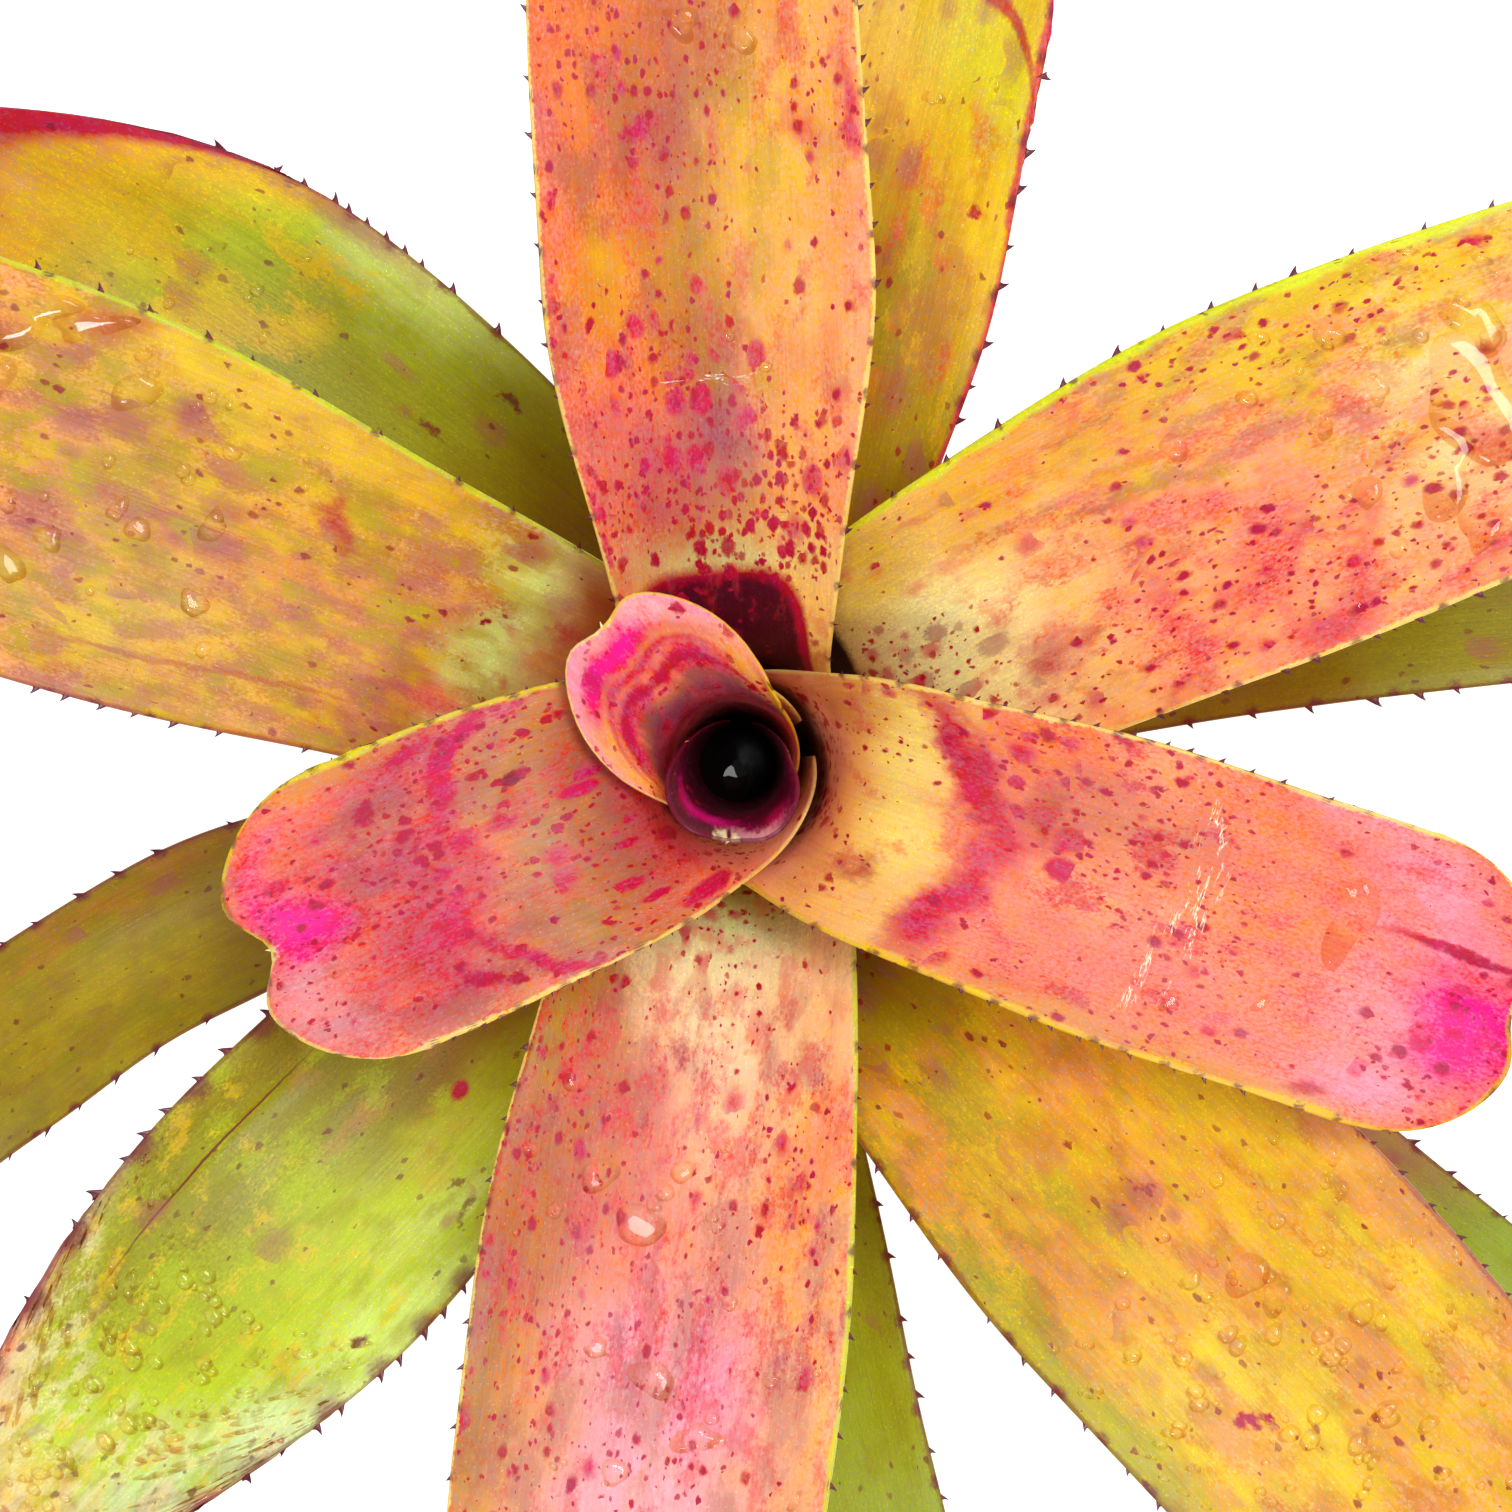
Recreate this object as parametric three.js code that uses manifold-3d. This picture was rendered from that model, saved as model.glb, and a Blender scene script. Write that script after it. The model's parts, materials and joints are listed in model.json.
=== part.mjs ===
// Neoregelia bromeliad: a rosette of strap leaves on a short stem, bare-rooted
// and standing on the stem's flat cut. Millimetres, +Z up. The origin is the
// centre of the cut and the plant's axis runs up +Z.
//
// Each leaf has two parts. Its sheath lies on its own cone round the axis, one
// layer further out for each older leaf, so that the sheaths nest as they do on
// the plant. Its blade leaves the cone at the shoulder, bends over and runs out
// as a channelled strap with a round, notched end and a spine at each step of
// both margins. The two youngest leaves stay rolled and make the cup's wall.

import * as THREE from 'three';
import { mergeVertices } from 'three/addons/utils/BufferGeometryUtils.js';
import Module from 'manifold-3d';

const wasm = await Module();
wasm.setup();

// ---- Driving dimensions: lengths in millimetres, angles in degrees ----

const STEM_TOP = 46; // base height of the youngest leaf
const BASE_PITCH = 2.1; // drop from one leaf base to the next older one
const CUP_RADIUS = 3; // radius of the innermost sheath, carried down to height 0
const CUP_FLARE = 0.027; // growth of that radius with height
const LAYER = 1.4; // radial step from one sheath to the next, at height 0
const LAYER_FLARE = 0.0085; // growth of that step with height

const SHEATH_THICKNESS = 0.8;
const BLADE_THICKNESS = 1.2;
const SEAT_GAP = 0.3; // clearance between a piece and what it sits on
const WIDEST_CLASP = 166; // furthest that a sheath wraps round the axis, each way

const SPINE_LENGTH = 1.7;
const SPINE_LEAN = 0.55; // how far a spine leans towards the leaf's end, per outward step
const SPINE_FOOT = [0.42, 0.62]; // the stretch of a margin step that a spine stands on

const CUT_RADIUS = 20; // flat cut under the stem
const CUT_BEVEL = 3; // height over which the stem swells above the cut
const CUT_SWELL = 1.5; // how far it swells there
const STEM_SIDES = 24;
const STEM_RING_STEP = 4; // leaf bases between two rings of the stem's profile

const ROOT_COUNT = 7;
const ROOT_LENGTH = 13;
const ROOT_RADIUS = 1.5;
const ROOT_TIP_RADIUS = 0.75;
const ROOT_HEIGHT = 6.5;
const ROOT_DIP = 6; // how far a root points below level
const ROOT_SINK = 4; // how far inside the cut's rim a root starts
const ROOT_SIDES = 6;

const WATER_TOP = 104; // level of the water that the cup holds
const WATER_SIDES = 12;

// How a leaf changes along its length.
const LINE_STEP = 1; // step of the walk along a midrib
const SHEATH_ROWS = 3;
const BEND_ROWS = 6;
const BLADE_ROWS = 8;
const LAST_BEND_END = 0.94; // share of the length that the bend's rows end by
const WAIST_PLACE = 0.35; // share of the bend where the leaf is narrowest
const OPENING_LEAD = 12; // how far below the shoulder the sheath starts to open
const OPENING_END = 0.85; // share of the bend where it has opened into a blade
const DROOP_GROWTH = 1.5; // power by which the droop grows along the blade
const TAPER_START = 0.62; // share of the length where the taper starts
const TIP_BEND = [0.9, 0.98]; // shares of the length between which a tip bends
const ROUNDING = [0.5, 1]; // shares of the length over which rows turn to follow the end
const CROWDING = [0.45, 0.95]; // and over which they crowd towards the margins
const NOTCH_SPREAD = 0.16; // half width of the notch, as a share of the leaf's half width
const FIRST_SPINE_ROW = SHEATH_ROWS + 2;
const NORMAL_REACH = 0.004; // half the step over which a surface direction is measured

// What a leaf has unless its own entry says otherwise.
const LEAF_DEFAULTS = {
  columns: 6, // strips across the leaf
  sheathWidth: 60,
  claspEnd: 0.35, // share of the sheath's height where it starts to narrow
  waist: 0.82, // narrowest width between sheath and blade, as a share of width
  widestAt: 0.25, // share of the blade's run where it is back at its full width
  turn: 0, // how far the blade swings sideways
  tipBend: 0, // sharper bend down close to the end
  channel: 0.5, // half angle of the blade's hollow section, in radians
  channelEnd: 0.25, // the same at the leaf's end
  taper: 0.1, // share of the width lost towards the end
  roundEnd: 0.5, // length of the rounded end, as a share of width
  notch: 3, // depth of the notch in the end
  rolled: false, // a rolled leaf keeps its sheath's tube up to its end
};

// The leaves, youngest first. azimuth is anticlockwise from +X, shoulder is the
// height where the sheath ends, bend is the length of the turn above it, and
// lean and droop are the tilts from upright after that turn and at the end.
const LEAVES = [
  { azimuth: 265, length: 107, width: 34, shoulder: 138, bend: 12, lean: 22, droop: 28,
    sheathWidth: 44, roundEnd: 0.4, columns: 10, rolled: true },
  { azimuth: 134, length: 118, width: 34, shoulder: 134, bend: 20, lean: 60, droop: 70,
    sheathWidth: 56, roundEnd: 0.66, columns: 10, rolled: true },
  { azimuth: 200, length: 154, width: 38, shoulder: 128, bend: 32, lean: 86, droop: 96, turn: 4,
    sheathWidth: 66, claspEnd: 0.7, waist: 0.92, channelEnd: 0.2, taper: 0.02, notch: 5,
    columns: 10 },
  { azimuth: 342, length: 187, width: 38, shoulder: 122, bend: 36, lean: 82, droop: 96,
    claspEnd: 0.5, waist: 0.9, channelEnd: 0.2, taper: 0.02, columns: 10 },
  { azimuth: 93.5, length: 206, width: 42, shoulder: 104, bend: 46, lean: 68, droop: 84, turn: -1,
    sheathWidth: 64, claspEnd: 0.5, waist: 0.68, columns: 8 },
  { azimuth: 261.5, length: 212, width: 48, shoulder: 98, bend: 52, lean: 70, droop: 102, turn: 3,
    sheathWidth: 66, columns: 8 },
  { azimuth: 32.5, length: 220, width: 46, shoulder: 92, bend: 56, lean: 69, droop: 104,
    turn: -19, sheathWidth: 66, columns: 8 },
  { azimuth: 155.5, length: 220, width: 52, shoulder: 86, bend: 58, lean: 70, droop: 106, turn: 8,
    sheathWidth: 66, waist: 0.68, widestAt: 0.5, columns: 8 },
  { azimuth: 314, length: 222, width: 52, shoulder: 80, bend: 60, lean: 68, droop: 106, turn: -2,
    sheathWidth: 66, columns: 8 },
  { azimuth: 77, length: 174, width: 40, shoulder: 74, bend: 60, lean: 66, droop: 104,
    tipBend: 75 },
  { azimuth: 226, length: 204, width: 46, shoulder: 66, bend: 60, lean: 68, droop: 110,
    taper: 0.5, roundEnd: 0.9 },
  { azimuth: 27, length: 206, width: 40, shoulder: 56, bend: 60, lean: 70, droop: 116, turn: -36 },
  { azimuth: 133, length: 193, width: 46, shoulder: 52, bend: 60, lean: 68, droop: 112, turn: 25,
    taper: 0.6, roundEnd: 1.1 },
  { azimuth: 268, length: 204, width: 40, shoulder: 46, bend: 60, lean: 70, droop: 122, turn: 26 },
  { azimuth: 26, length: 210, width: 38, shoulder: 24, bend: 48, lean: 82, droop: 161 },
  { azimuth: 190, length: 204, width: 31, shoulder: 21, bend: 48, lean: 82, droop: 159, turn: 42,
    waist: 0.62, channel: 1, channelEnd: 0.6 },
  { azimuth: 322, length: 204, width: 38, shoulder: 17, bend: 48, lean: 82, droop: 152 },
];

// ---- Finishes ----

const INNER_LEAF = { color: '#e8705a', roughness: 0.42 };
const MIDDLE_LEAF = { color: '#d9a24a', roughness: 0.45 };
const OUTER_LEAF = { color: '#8f9a34', roughness: 0.5 };
const STEM_BARK = { color: '#7a6242', roughness: 0.9 };
const CUP_WATER = { color: '#26302c', roughness: 0.05 };
const FIRST_MIDDLE_LEAF = 5;
const FIRST_OUTER_LEAF = 9;

// ---- Small helpers ----

const radians = THREE.MathUtils.degToRad;
const mix = THREE.MathUtils.lerp;
const ease = THREE.MathUtils.smoothstep; // of a value, from 0 at one limit to 1 at the other

function aroundAxis(radius, angle, height) {
  return new THREE.Vector3(radius * Math.cos(angle), radius * Math.sin(angle), height);
}

function makePiece(name, geometry, finish) {
  const mesh = new THREE.Mesh(geometry, new THREE.MeshStandardMaterial(finish));
  mesh.name = name;
  return mesh;
}

// ---- How the sheaths nest ----

function baseHeight(order) {
  return STEM_TOP - BASE_PITCH * order;
}

function sheathRadius(order, height) {
  return CUP_RADIUS + CUP_FLARE * height + order * (LAYER + LAYER_FLARE * height);
}

// Radius of the round space inside a sheath, whose flats lie inside its corners.
function boreRadius(order, height) {
  const { sheathWidth, columns } = { ...LEAF_DEFAULTS, ...LEAVES[order] };
  const radius = sheathRadius(order, height);
  const clasp = Math.min(sheathWidth / 2 / radius, radians(WIDEST_CLASP));
  return (radius - SHEATH_THICKNESS / 2) * Math.cos(clasp / columns);
}

// ---- The mid-surface of one leaf ----

// Places along the leaf are s, in millimetres from its base, or along, from 0 to
// 1. Places across it run from -1 to 1.
class LeafForm {
  constructor(entry, order) {
    Object.assign(this, LEAF_DEFAULTS, entry);
    this.order = order;
    this.coneTilt = Math.atan(CUP_FLARE + LAYER_FLARE * order);
    this.sheathEnd = (this.shoulder - baseHeight(order)) / Math.cos(this.coneTilt);
    this.bendEnd = this.sheathEnd + this.bend;
    this.midrib = this.walkMidrib();
  }

  tiltAt(s) {
    const bent = mix(this.coneTilt, radians(this.lean), ease(s, this.sheathEnd, this.bendEnd));
    const run = Math.max((s - this.bendEnd) / (this.length - this.bendEnd), 0);
    const drooped = radians(this.droop - this.lean) * run ** DROOP_GROWTH;
    return bent + drooped + radians(this.tipBend) * ease(s / this.length, ...TIP_BEND);
  }

  headingAt(s) {
    const run = Math.max((s - this.sheathEnd) / (this.length - this.sheathEnd), 0);
    return radians(this.azimuth + this.turn * run);
  }

  walkMidrib() {
    const height = baseHeight(this.order);
    const point = aroundAxis(sheathRadius(this.order, height), radians(this.azimuth), height);
    const line = [point.clone()];
    for (let s = LINE_STEP / 2; s < this.length + LINE_STEP; s += LINE_STEP) {
      const tilt = this.tiltAt(s);
      point.add(aroundAxis(LINE_STEP * Math.sin(tilt), this.headingAt(s), LINE_STEP * Math.cos(tilt)));
      line.push(point.clone());
    }
    return line;
  }

  centreAt(s) {
    const place = Math.max(s, 0) / LINE_STEP;
    const index = Math.min(Math.floor(place), this.midrib.length - 2);
    return this.midrib[index].clone().lerp(this.midrib[index + 1], place - index);
  }

  widthAt(s) {
    const narrowing = this.claspEnd * this.sheathEnd;
    const waistPlace = this.sheathEnd + WAIST_PLACE * this.bend;
    const widestPlace = mix(this.bendEnd, this.length, this.widestAt);
    const waistWidth = this.waist * this.width;
    const sheath = mix(this.sheathWidth, waistWidth, ease(s, narrowing, waistPlace));
    const widening = (this.width - waistWidth) * ease(s, waistPlace, widestPlace);
    return (sheath + widening) * (1 - this.taper * ease(s / this.length, TAPER_START, 1));
  }

  // How far short of its full length the leaf ends, at one place across it.
  endCut(across) {
    const round = this.roundEnd * this.width * (1 - Math.cos(across * Math.PI / 2));
    return round + this.notch * Math.exp(-((across / NOTCH_SPREAD) ** 2));
  }

  point(along, across) {
    const crowded = Math.sin(across * Math.PI / 2);
    const v = mix(across, crowded, ease(along, ...CROWDING));
    const s = along * this.length - this.endCut(across) * ease(along, ...ROUNDING);
    const clasping = this.claspingPoint(s, v);
    if (this.rolled) {
      return clasping;
    }
    const openFrom = this.sheathEnd - OPENING_LEAD;
    const openTo = this.sheathEnd + OPENING_END * this.bend;
    return clasping.lerp(this.bladePoint(s, v), ease(s, openFrom, openTo));
  }

  // Wrapped round the plant's axis, as a sheath is.
  claspingPoint(s, v) {
    const centre = this.centreAt(s);
    const radius = Math.hypot(centre.x, centre.y);
    const clasp = Math.min(this.widthAt(s) / 2 / radius, radians(WIDEST_CLASP));
    return aroundAxis(radius, radians(this.azimuth) + v * clasp, centre.z);
  }

  // On the blade's own hollow arc, square to the midrib.
  bladePoint(s, v) {
    const tilt = this.tiltAt(s);
    const heading = this.headingAt(s);
    const hollow = mix(this.channel, this.channelEnd, ease(s, this.sheathEnd, this.length));
    const arcRadius = this.widthAt(s) / 2 / hollow;
    const side = aroundAxis(1, heading + Math.PI / 2, 0);
    const up = aroundAxis(-Math.cos(tilt), heading, Math.sin(tilt));
    return this.centreAt(s)
      .addScaledVector(side, arcRadius * Math.sin(v * hollow))
      .addScaledVector(up, arcRadius * (1 - Math.cos(v * hollow)));
  }

  // Out of the leaf's upper face.
  normalAt(along, across) {
    const lengthways = this.point(Math.min(along + NORMAL_REACH, 1), across);
    lengthways.sub(this.point(Math.max(along - NORMAL_REACH, 0), across));
    const crossways = this.point(along, Math.min(across + NORMAL_REACH, 1));
    crossways.sub(this.point(along, Math.max(across - NORMAL_REACH, -1)));
    return lengthways.cross(crossways).normalize();
  }

  thicknessAt(along) {
    const thickening = ease(along * this.length, this.sheathEnd, this.bendEnd);
    return mix(SHEATH_THICKNESS, BLADE_THICKNESS, thickening);
  }

  // Where along the leaf its rows of corners lie.
  rows() {
    const shoulder = this.sheathEnd / this.length;
    const bendEnd = Math.min(this.bendEnd / this.length, LAST_BEND_END);
    const stretch = (from, to, count) => (
      Array.from({ length: count }, (unused, k) => mix(from, to, k / count))
    );
    return [
      ...stretch(0, shoulder, SHEATH_ROWS),
      ...stretch(shoulder, bendEnd, BEND_ROWS),
      ...stretch(bendEnd, 1, BLADE_ROWS),
      1,
    ];
  }
}

// ---- One leaf as a closed solid ----

// An upper and a lower face on the same grid of corners, joined along the two
// margins and the two ends. Both faces are split along the same diagonals.
class LeafSolid {
  constructor(form) {
    this.form = form;
    this.rows = form.rows();
    this.positions = [];
    this.triangles = [];
    this.upper = this.addFace(1);
    this.lower = this.addFace(-1);
    for (let row = 0; row < this.rows.length - 1; row += 1) {
      this.addCells(row);
      this.addMargin(row, 0, 1, false);
      this.addMargin(row, form.columns, form.columns - 1, true);
    }
    this.addEnds();
  }

  addCorner(point) {
    this.positions.push(point.x, point.y, point.z);
    return this.positions.length / 3 - 1;
  }

  corner(index) {
    return new THREE.Vector3().fromArray(this.positions, 3 * index);
  }

  addTriangle(a, b, c, flip) {
    this.triangles.push(a, flip ? c : b, flip ? b : c);
  }

  addQuad(a, b, c, d, flip) {
    this.addTriangle(a, b, c, flip);
    this.addTriangle(a, c, d, flip);
  }

  addFace(side) {
    const { columns } = this.form;
    return this.rows.map((along) => Array.from({ length: columns + 1 }, (unused, k) => {
      const across = -1 + 2 * k / columns;
      const offset = this.form.normalAt(along, across);
      offset.multiplyScalar(side * this.form.thicknessAt(along) / 2);
      return this.addCorner(this.form.point(along, across).add(offset));
    }));
  }

  // One row of both faces without its outer strips. Diagonals lean to the midrib.
  addCells(row) {
    const { columns } = this.form;
    for (let k = 1; k < columns - 1; k += 1) {
      for (const face of [this.upper, this.lower]) {
        const corners = [face[row][k], face[row][k + 1], face[row + 1][k + 1], face[row + 1][k]];
        if (k < columns / 2) {
          corners.push(corners.shift());
        }
        this.addQuad(...corners, face === this.upper);
      }
    }
  }

  // One row of one margin: the outer strips of both faces and the edge between
  // them. Beyond the sheath a spine stands on the middle stretch of that edge.
  addMargin(row, outer, inner, flip) {
    const hasSpine = !this.form.rolled && row >= FIRST_SPINE_ROW;
    const [upperEdge, lowerEdge] = [this.upper, this.lower].map((face) => {
      const [from, to] = [face[row][outer], face[row + 1][outer]];
      const foot = (hasSpine ? SPINE_FOOT : []).map((share) => (
        this.addCorner(this.corner(from).lerp(this.corner(to), share))
      ));
      return [from, ...foot, to];
    });
    for (let k = 0; k < upperEdge.length - 1; k += 1) {
      this.addTriangle(this.upper[row][inner], upperEdge[k], upperEdge[k + 1], flip);
      this.addTriangle(this.lower[row][inner], lowerEdge[k + 1], lowerEdge[k], flip);
      const edge = [upperEdge[k], lowerEdge[k], lowerEdge[k + 1], upperEdge[k + 1]];
      if (hasSpine && k === 1) {
        this.addSpine(edge, this.upper[row][inner], this.upper[row + 1][inner], flip);
      } else {
        this.addQuad(...edge, flip);
      }
    }
    const next = row + 1;
    this.addTriangle(this.upper[row][inner], this.upper[next][outer], this.upper[next][inner], flip);
    this.addTriangle(this.lower[row][inner], this.lower[next][inner], this.lower[next][outer], flip);
  }

  // Four faces up from the foot's corners, away from the two inner corners.
  addSpine(foot, innerFrom, innerTo, flip) {
    const middle = new THREE.Vector3();
    foot.forEach((index) => middle.addScaledVector(this.corner(index), 1 / foot.length));
    const forward = this.corner(foot[3]).sub(this.corner(foot[0])).normalize();
    const direction = middle.clone().sub(this.corner(innerFrom).lerp(this.corner(innerTo), 0.5));
    direction.addScaledVector(forward, -direction.dot(forward)).normalize();
    direction.addScaledVector(forward, SPINE_LEAN).normalize();
    const tip = this.addCorner(middle.addScaledVector(direction, SPINE_LENGTH));
    foot.forEach((index, k) => this.addTriangle(index, foot[(k + 1) % foot.length], tip, flip));
  }

  addEnds() {
    const [upper, lower] = [this.upper, this.lower];
    const last = this.rows.length - 1;
    for (let k = 0; k < this.form.columns; k += 1) {
      this.addQuad(lower[0][k], lower[0][k + 1], upper[0][k + 1], upper[0][k], true);
      this.addQuad(upper[last][k], upper[last][k + 1], lower[last][k + 1], lower[last][k], true);
    }
  }

  geometry() {
    const geometry = new THREE.BufferGeometry();
    geometry.setAttribute('position', new THREE.Float32BufferAttribute(this.positions, 3));
    geometry.setIndex(this.triangles);
    geometry.computeVertexNormals();
    return geometry;
  }
}

function leafFinish(order) {
  if (order < FIRST_MIDDLE_LEAF) {
    return INNER_LEAF;
  }
  return order < FIRST_OUTER_LEAF ? MIDDLE_LEAF : OUTER_LEAF;
}

function makeLeaf(entry, order) {
  const solid = new LeafSolid(new LeafForm(entry, order));
  const name = `leaf_${String(order + 1).padStart(2, '0')}`;
  return makePiece(name, solid.geometry(), leafFinish(order));
}

// ---- Stem with its root stubs ----

function toSolid(geometry) {
  geometry.deleteAttribute('normal');
  geometry.deleteAttribute('uv');
  const merged = mergeVertices(geometry);
  return new wasm.Manifold(new wasm.Mesh({
    numProp: 3,
    vertProperties: new Float32Array(merged.attributes.position.array),
    triVerts: new Uint32Array(merged.index.array),
  }));
}

function toGeometry(solid) {
  const mesh = solid.getMesh();
  const geometry = new THREE.BufferGeometry();
  geometry.setAttribute('position', new THREE.Float32BufferAttribute(mesh.vertProperties, 3));
  geometry.setIndex([...mesh.triVerts]);
  geometry.computeVertexNormals();
  return geometry;
}

// Turns a profile of [radius, height] pairs round +Z.
function turned(profile, sides) {
  const outline = profile.map(([radius, height]) => new THREE.Vector2(radius, height));
  return new THREE.LatheGeometry(outline, sides).rotateX(Math.PI / 2);
}

function stemGeometry() {
  const seat = (order) => [boreRadius(order, baseHeight(order)) - SEAT_GAP, baseHeight(order)];
  const profile = [[0, 0], [CUT_RADIUS, 0], [CUT_RADIUS + CUT_SWELL, CUT_BEVEL]];
  for (let order = LEAVES.length - 1; order > 0; order -= STEM_RING_STEP) {
    profile.push(seat(order));
  }
  return turned([...profile, seat(0), [0, STEM_TOP]], STEM_SIDES);
}

// A root stub. Waves of its index make each one's place and length its own.
function rootGeometry(index) {
  const spread = 2 * Math.PI * index / ROOT_COUNT + 0.35 * Math.sin(5 * index);
  const length = ROOT_LENGTH * (0.8 + 0.25 * Math.sin(3 * index + 1));
  const dip = ROOT_DIP + 4 * Math.sin(2 * index);
  const height = ROOT_HEIGHT + 0.8 * Math.sin(4 * index);
  return new THREE.CylinderGeometry(ROOT_TIP_RADIUS, ROOT_RADIUS, length, ROOT_SIDES)
    .translate(0, length / 2, 0)
    .rotateX(Math.PI / 2)
    .rotateY(radians(90 + dip))
    .translate(CUT_RADIUS - ROOT_SINK, 0, height)
    .rotateZ(spread);
}

function makeStem() {
  let solid = toSolid(stemGeometry());
  for (let index = 0; index < ROOT_COUNT; index += 1) {
    solid = solid.add(toSolid(rootGeometry(index)));
  }
  return makePiece('stem', toGeometry(solid), STEM_BARK);
}

// ---- Water held in the cup, from the stem's top up to its level ----

function makeWater() {
  const edge = (height) => [boreRadius(0, height) - SEAT_GAP, height];
  const bottom = STEM_TOP + SEAT_GAP;
  const profile = [[0, bottom], edge(bottom), edge(WATER_TOP), [0, WATER_TOP]];
  return makePiece('cup_water', turned(profile, WATER_SIDES), CUP_WATER);
}

// ---- The plant ----

const plant = new THREE.Group();
plant.add(makeStem(), makeWater(), ...LEAVES.map(makeLeaf));

export default plant;
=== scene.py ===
import json
import math
import random
from dataclasses import dataclass, field

import bpy
import numpy as np
from bpy.props import (
    FloatProperty, FloatVectorProperty, IntProperty, PointerProperty,
)
from mathutils import Matrix, Vector


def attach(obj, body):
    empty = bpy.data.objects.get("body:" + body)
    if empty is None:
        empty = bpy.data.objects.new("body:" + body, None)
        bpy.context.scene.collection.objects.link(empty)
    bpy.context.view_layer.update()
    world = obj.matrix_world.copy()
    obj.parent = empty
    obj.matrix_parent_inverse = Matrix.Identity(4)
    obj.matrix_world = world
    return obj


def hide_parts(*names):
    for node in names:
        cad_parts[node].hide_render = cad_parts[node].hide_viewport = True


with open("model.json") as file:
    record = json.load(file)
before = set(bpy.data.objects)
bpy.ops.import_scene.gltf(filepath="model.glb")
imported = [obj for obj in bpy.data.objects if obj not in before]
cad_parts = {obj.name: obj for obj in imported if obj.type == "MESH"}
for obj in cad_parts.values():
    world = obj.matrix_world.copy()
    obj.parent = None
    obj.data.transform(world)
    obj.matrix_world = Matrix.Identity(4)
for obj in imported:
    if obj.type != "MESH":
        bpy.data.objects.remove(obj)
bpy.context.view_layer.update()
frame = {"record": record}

bl_info = {
    "name": "Neoregelia Bromeliad",
    "version": (1, 0, 0),
    "blender": (4, 5, 0),
    "location": "3D View > Sidebar > Bromeliad",
    "description": "Dresses a rosette bromeliad: leaves, spines, water, stem and roots",
    "category": "Add Mesh",
}

MM = 0.001
BODY = "root"

# ---- How the sheaths nest, in millimetres ----

STEM_TOP = 46
BASE_PITCH = 2.1
CUP_RADIUS = 3
CUP_FLARE = 0.027
LAYER = 1.4
LAYER_FLARE = 0.0085
WIDEST_CLASP = math.radians(166)
SHEATH_THICKNESS = 0.8
BLADE_THICKNESS = 1.2
MARGIN_WIDTH = 2.5
THICKNESS_LEVELS = 24
SEAT_GAP = 0.3
WATER_TOP = 104

# ---- How a leaf changes along its length ----

WAIST_PLACE = 0.35
OPENING_LEAD = 12
OPENING_END = 0.85
DROOP_GROWTH = 1.5
TAPER_START = 0.62
TIP_BEND = (0.9, 0.98)
ROUNDING = (0.5, 1)
CROWDING = (0.45, 0.95)
NOTCH_SPREAD = 0.16
NORMAL_REACH = 0.004
SHORT_STEP = 0.001
FREE_LEAD = 5
EDGE_WAVE = 7.5
EDGE_POWER = 3
SIDE_PHASE = 0.9
DENT_SPACING = (9, 23)
DENT_SLANT = (2.1, 3.4)
DENT_DEPTH = 0.25
KEEL_DEPTH = 0.5
KEEL_SPREAD = 0.1
KEEL_PLACE = (0.8, 1)
FOLD_FADE = 0.03
PHASE_STEP = 1.7

# ---- How spines stand along a margin ----

FIRST_SPINE = 0.3
LAST_SPINE = 0.99
SPACING_PLAY = (0.6, 1.4)
SPINE_PLAY = (0.65, 1.15)
SPINE_BREADTH = (0.9, 1.4)
NIB_SCALE = (0.45, 0.7, 0.35)

# ---- A spine's form, in shares of its length ----

SPINE_ROOT = 0.2
SPINE_WIDTH = 0.7
SPINE_THICKNESS = 0.2
SPINE_WAIST = 0.9
SPINE_HOOK = 0.6
SPINE_CURVE = 1.7
SPINE_POINT = 0.08
SPINE_SIDES = 8


def ease(value, start, end):
    """0 before start, 1 after end, and a smooth step between them."""
    share = np.clip((value - start) / (end - start), 0, 1)
    return share * share * (3 - 2 * share)


def mix(first, second, share):
    return first + (second - first) * share


def around_axis(radius, angle, height):
    """Points at a radius, an angle and a height from the plant's axis."""
    parts = np.broadcast_arrays(radius * np.cos(angle), radius * np.sin(angle), height)
    return np.stack(parts, -1)


def unit(vectors):
    return vectors / np.linalg.norm(vectors, axis=-1, keepdims=True)


def base_height(order):
    return STEM_TOP - BASE_PITCH * order


def sheath_radius(order, height):
    return CUP_RADIUS + CUP_FLARE * height + order * (LAYER + LAYER_FLARE * height)


@dataclass(frozen=True)
class Patch:
    """A stain on a leaf: an ellipse round a place, in shares of the leaf."""
    colour: str
    along: float
    across: float
    long: float
    wide: float
    strength: float = 1
    blur: float = 0.5
    tilt: float = 0
    corner: float = 2
    rough: float = 1
    lean: float = 0


@dataclass(frozen=True)
class Spots:
    """Scattered spots of one size, in millimetres, over a stretch of the leaf."""
    colour: str
    size: float
    amount: float
    start: float = 0.3
    end: float = 1
    strength: float = 0.8
    stretch: float = 1.5
    soft: float = 0.3


@dataclass(frozen=True)
class Mottle:
    """Soft clouds of a colour over a stretch of the leaf. Side -1 or 1 keeps them to one half."""
    colour: str
    size: float
    amount: float
    start: float = 0.3
    end: float = 1
    strength: float = 0.7
    side: float = 0


@dataclass(frozen=True)
class Rim:
    """The coloured line along one margin, and how far each spine darkens the skin round it."""
    colour: str
    width: float = 0.7
    strength: float = 0.75
    halo: float = 1


@dataclass
class Look:
    """How a leaf's upper skin is coloured. The run follows the leaf from its base to its end,
    or goes inwards from the margin over so many millimetres."""
    run: tuple
    marks: tuple = ()
    left: Rim = Rim("straw")
    right: Rim = Rim("straw")
    scurf: float = 0
    scratches: tuple = ()
    inward: float = 0


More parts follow.
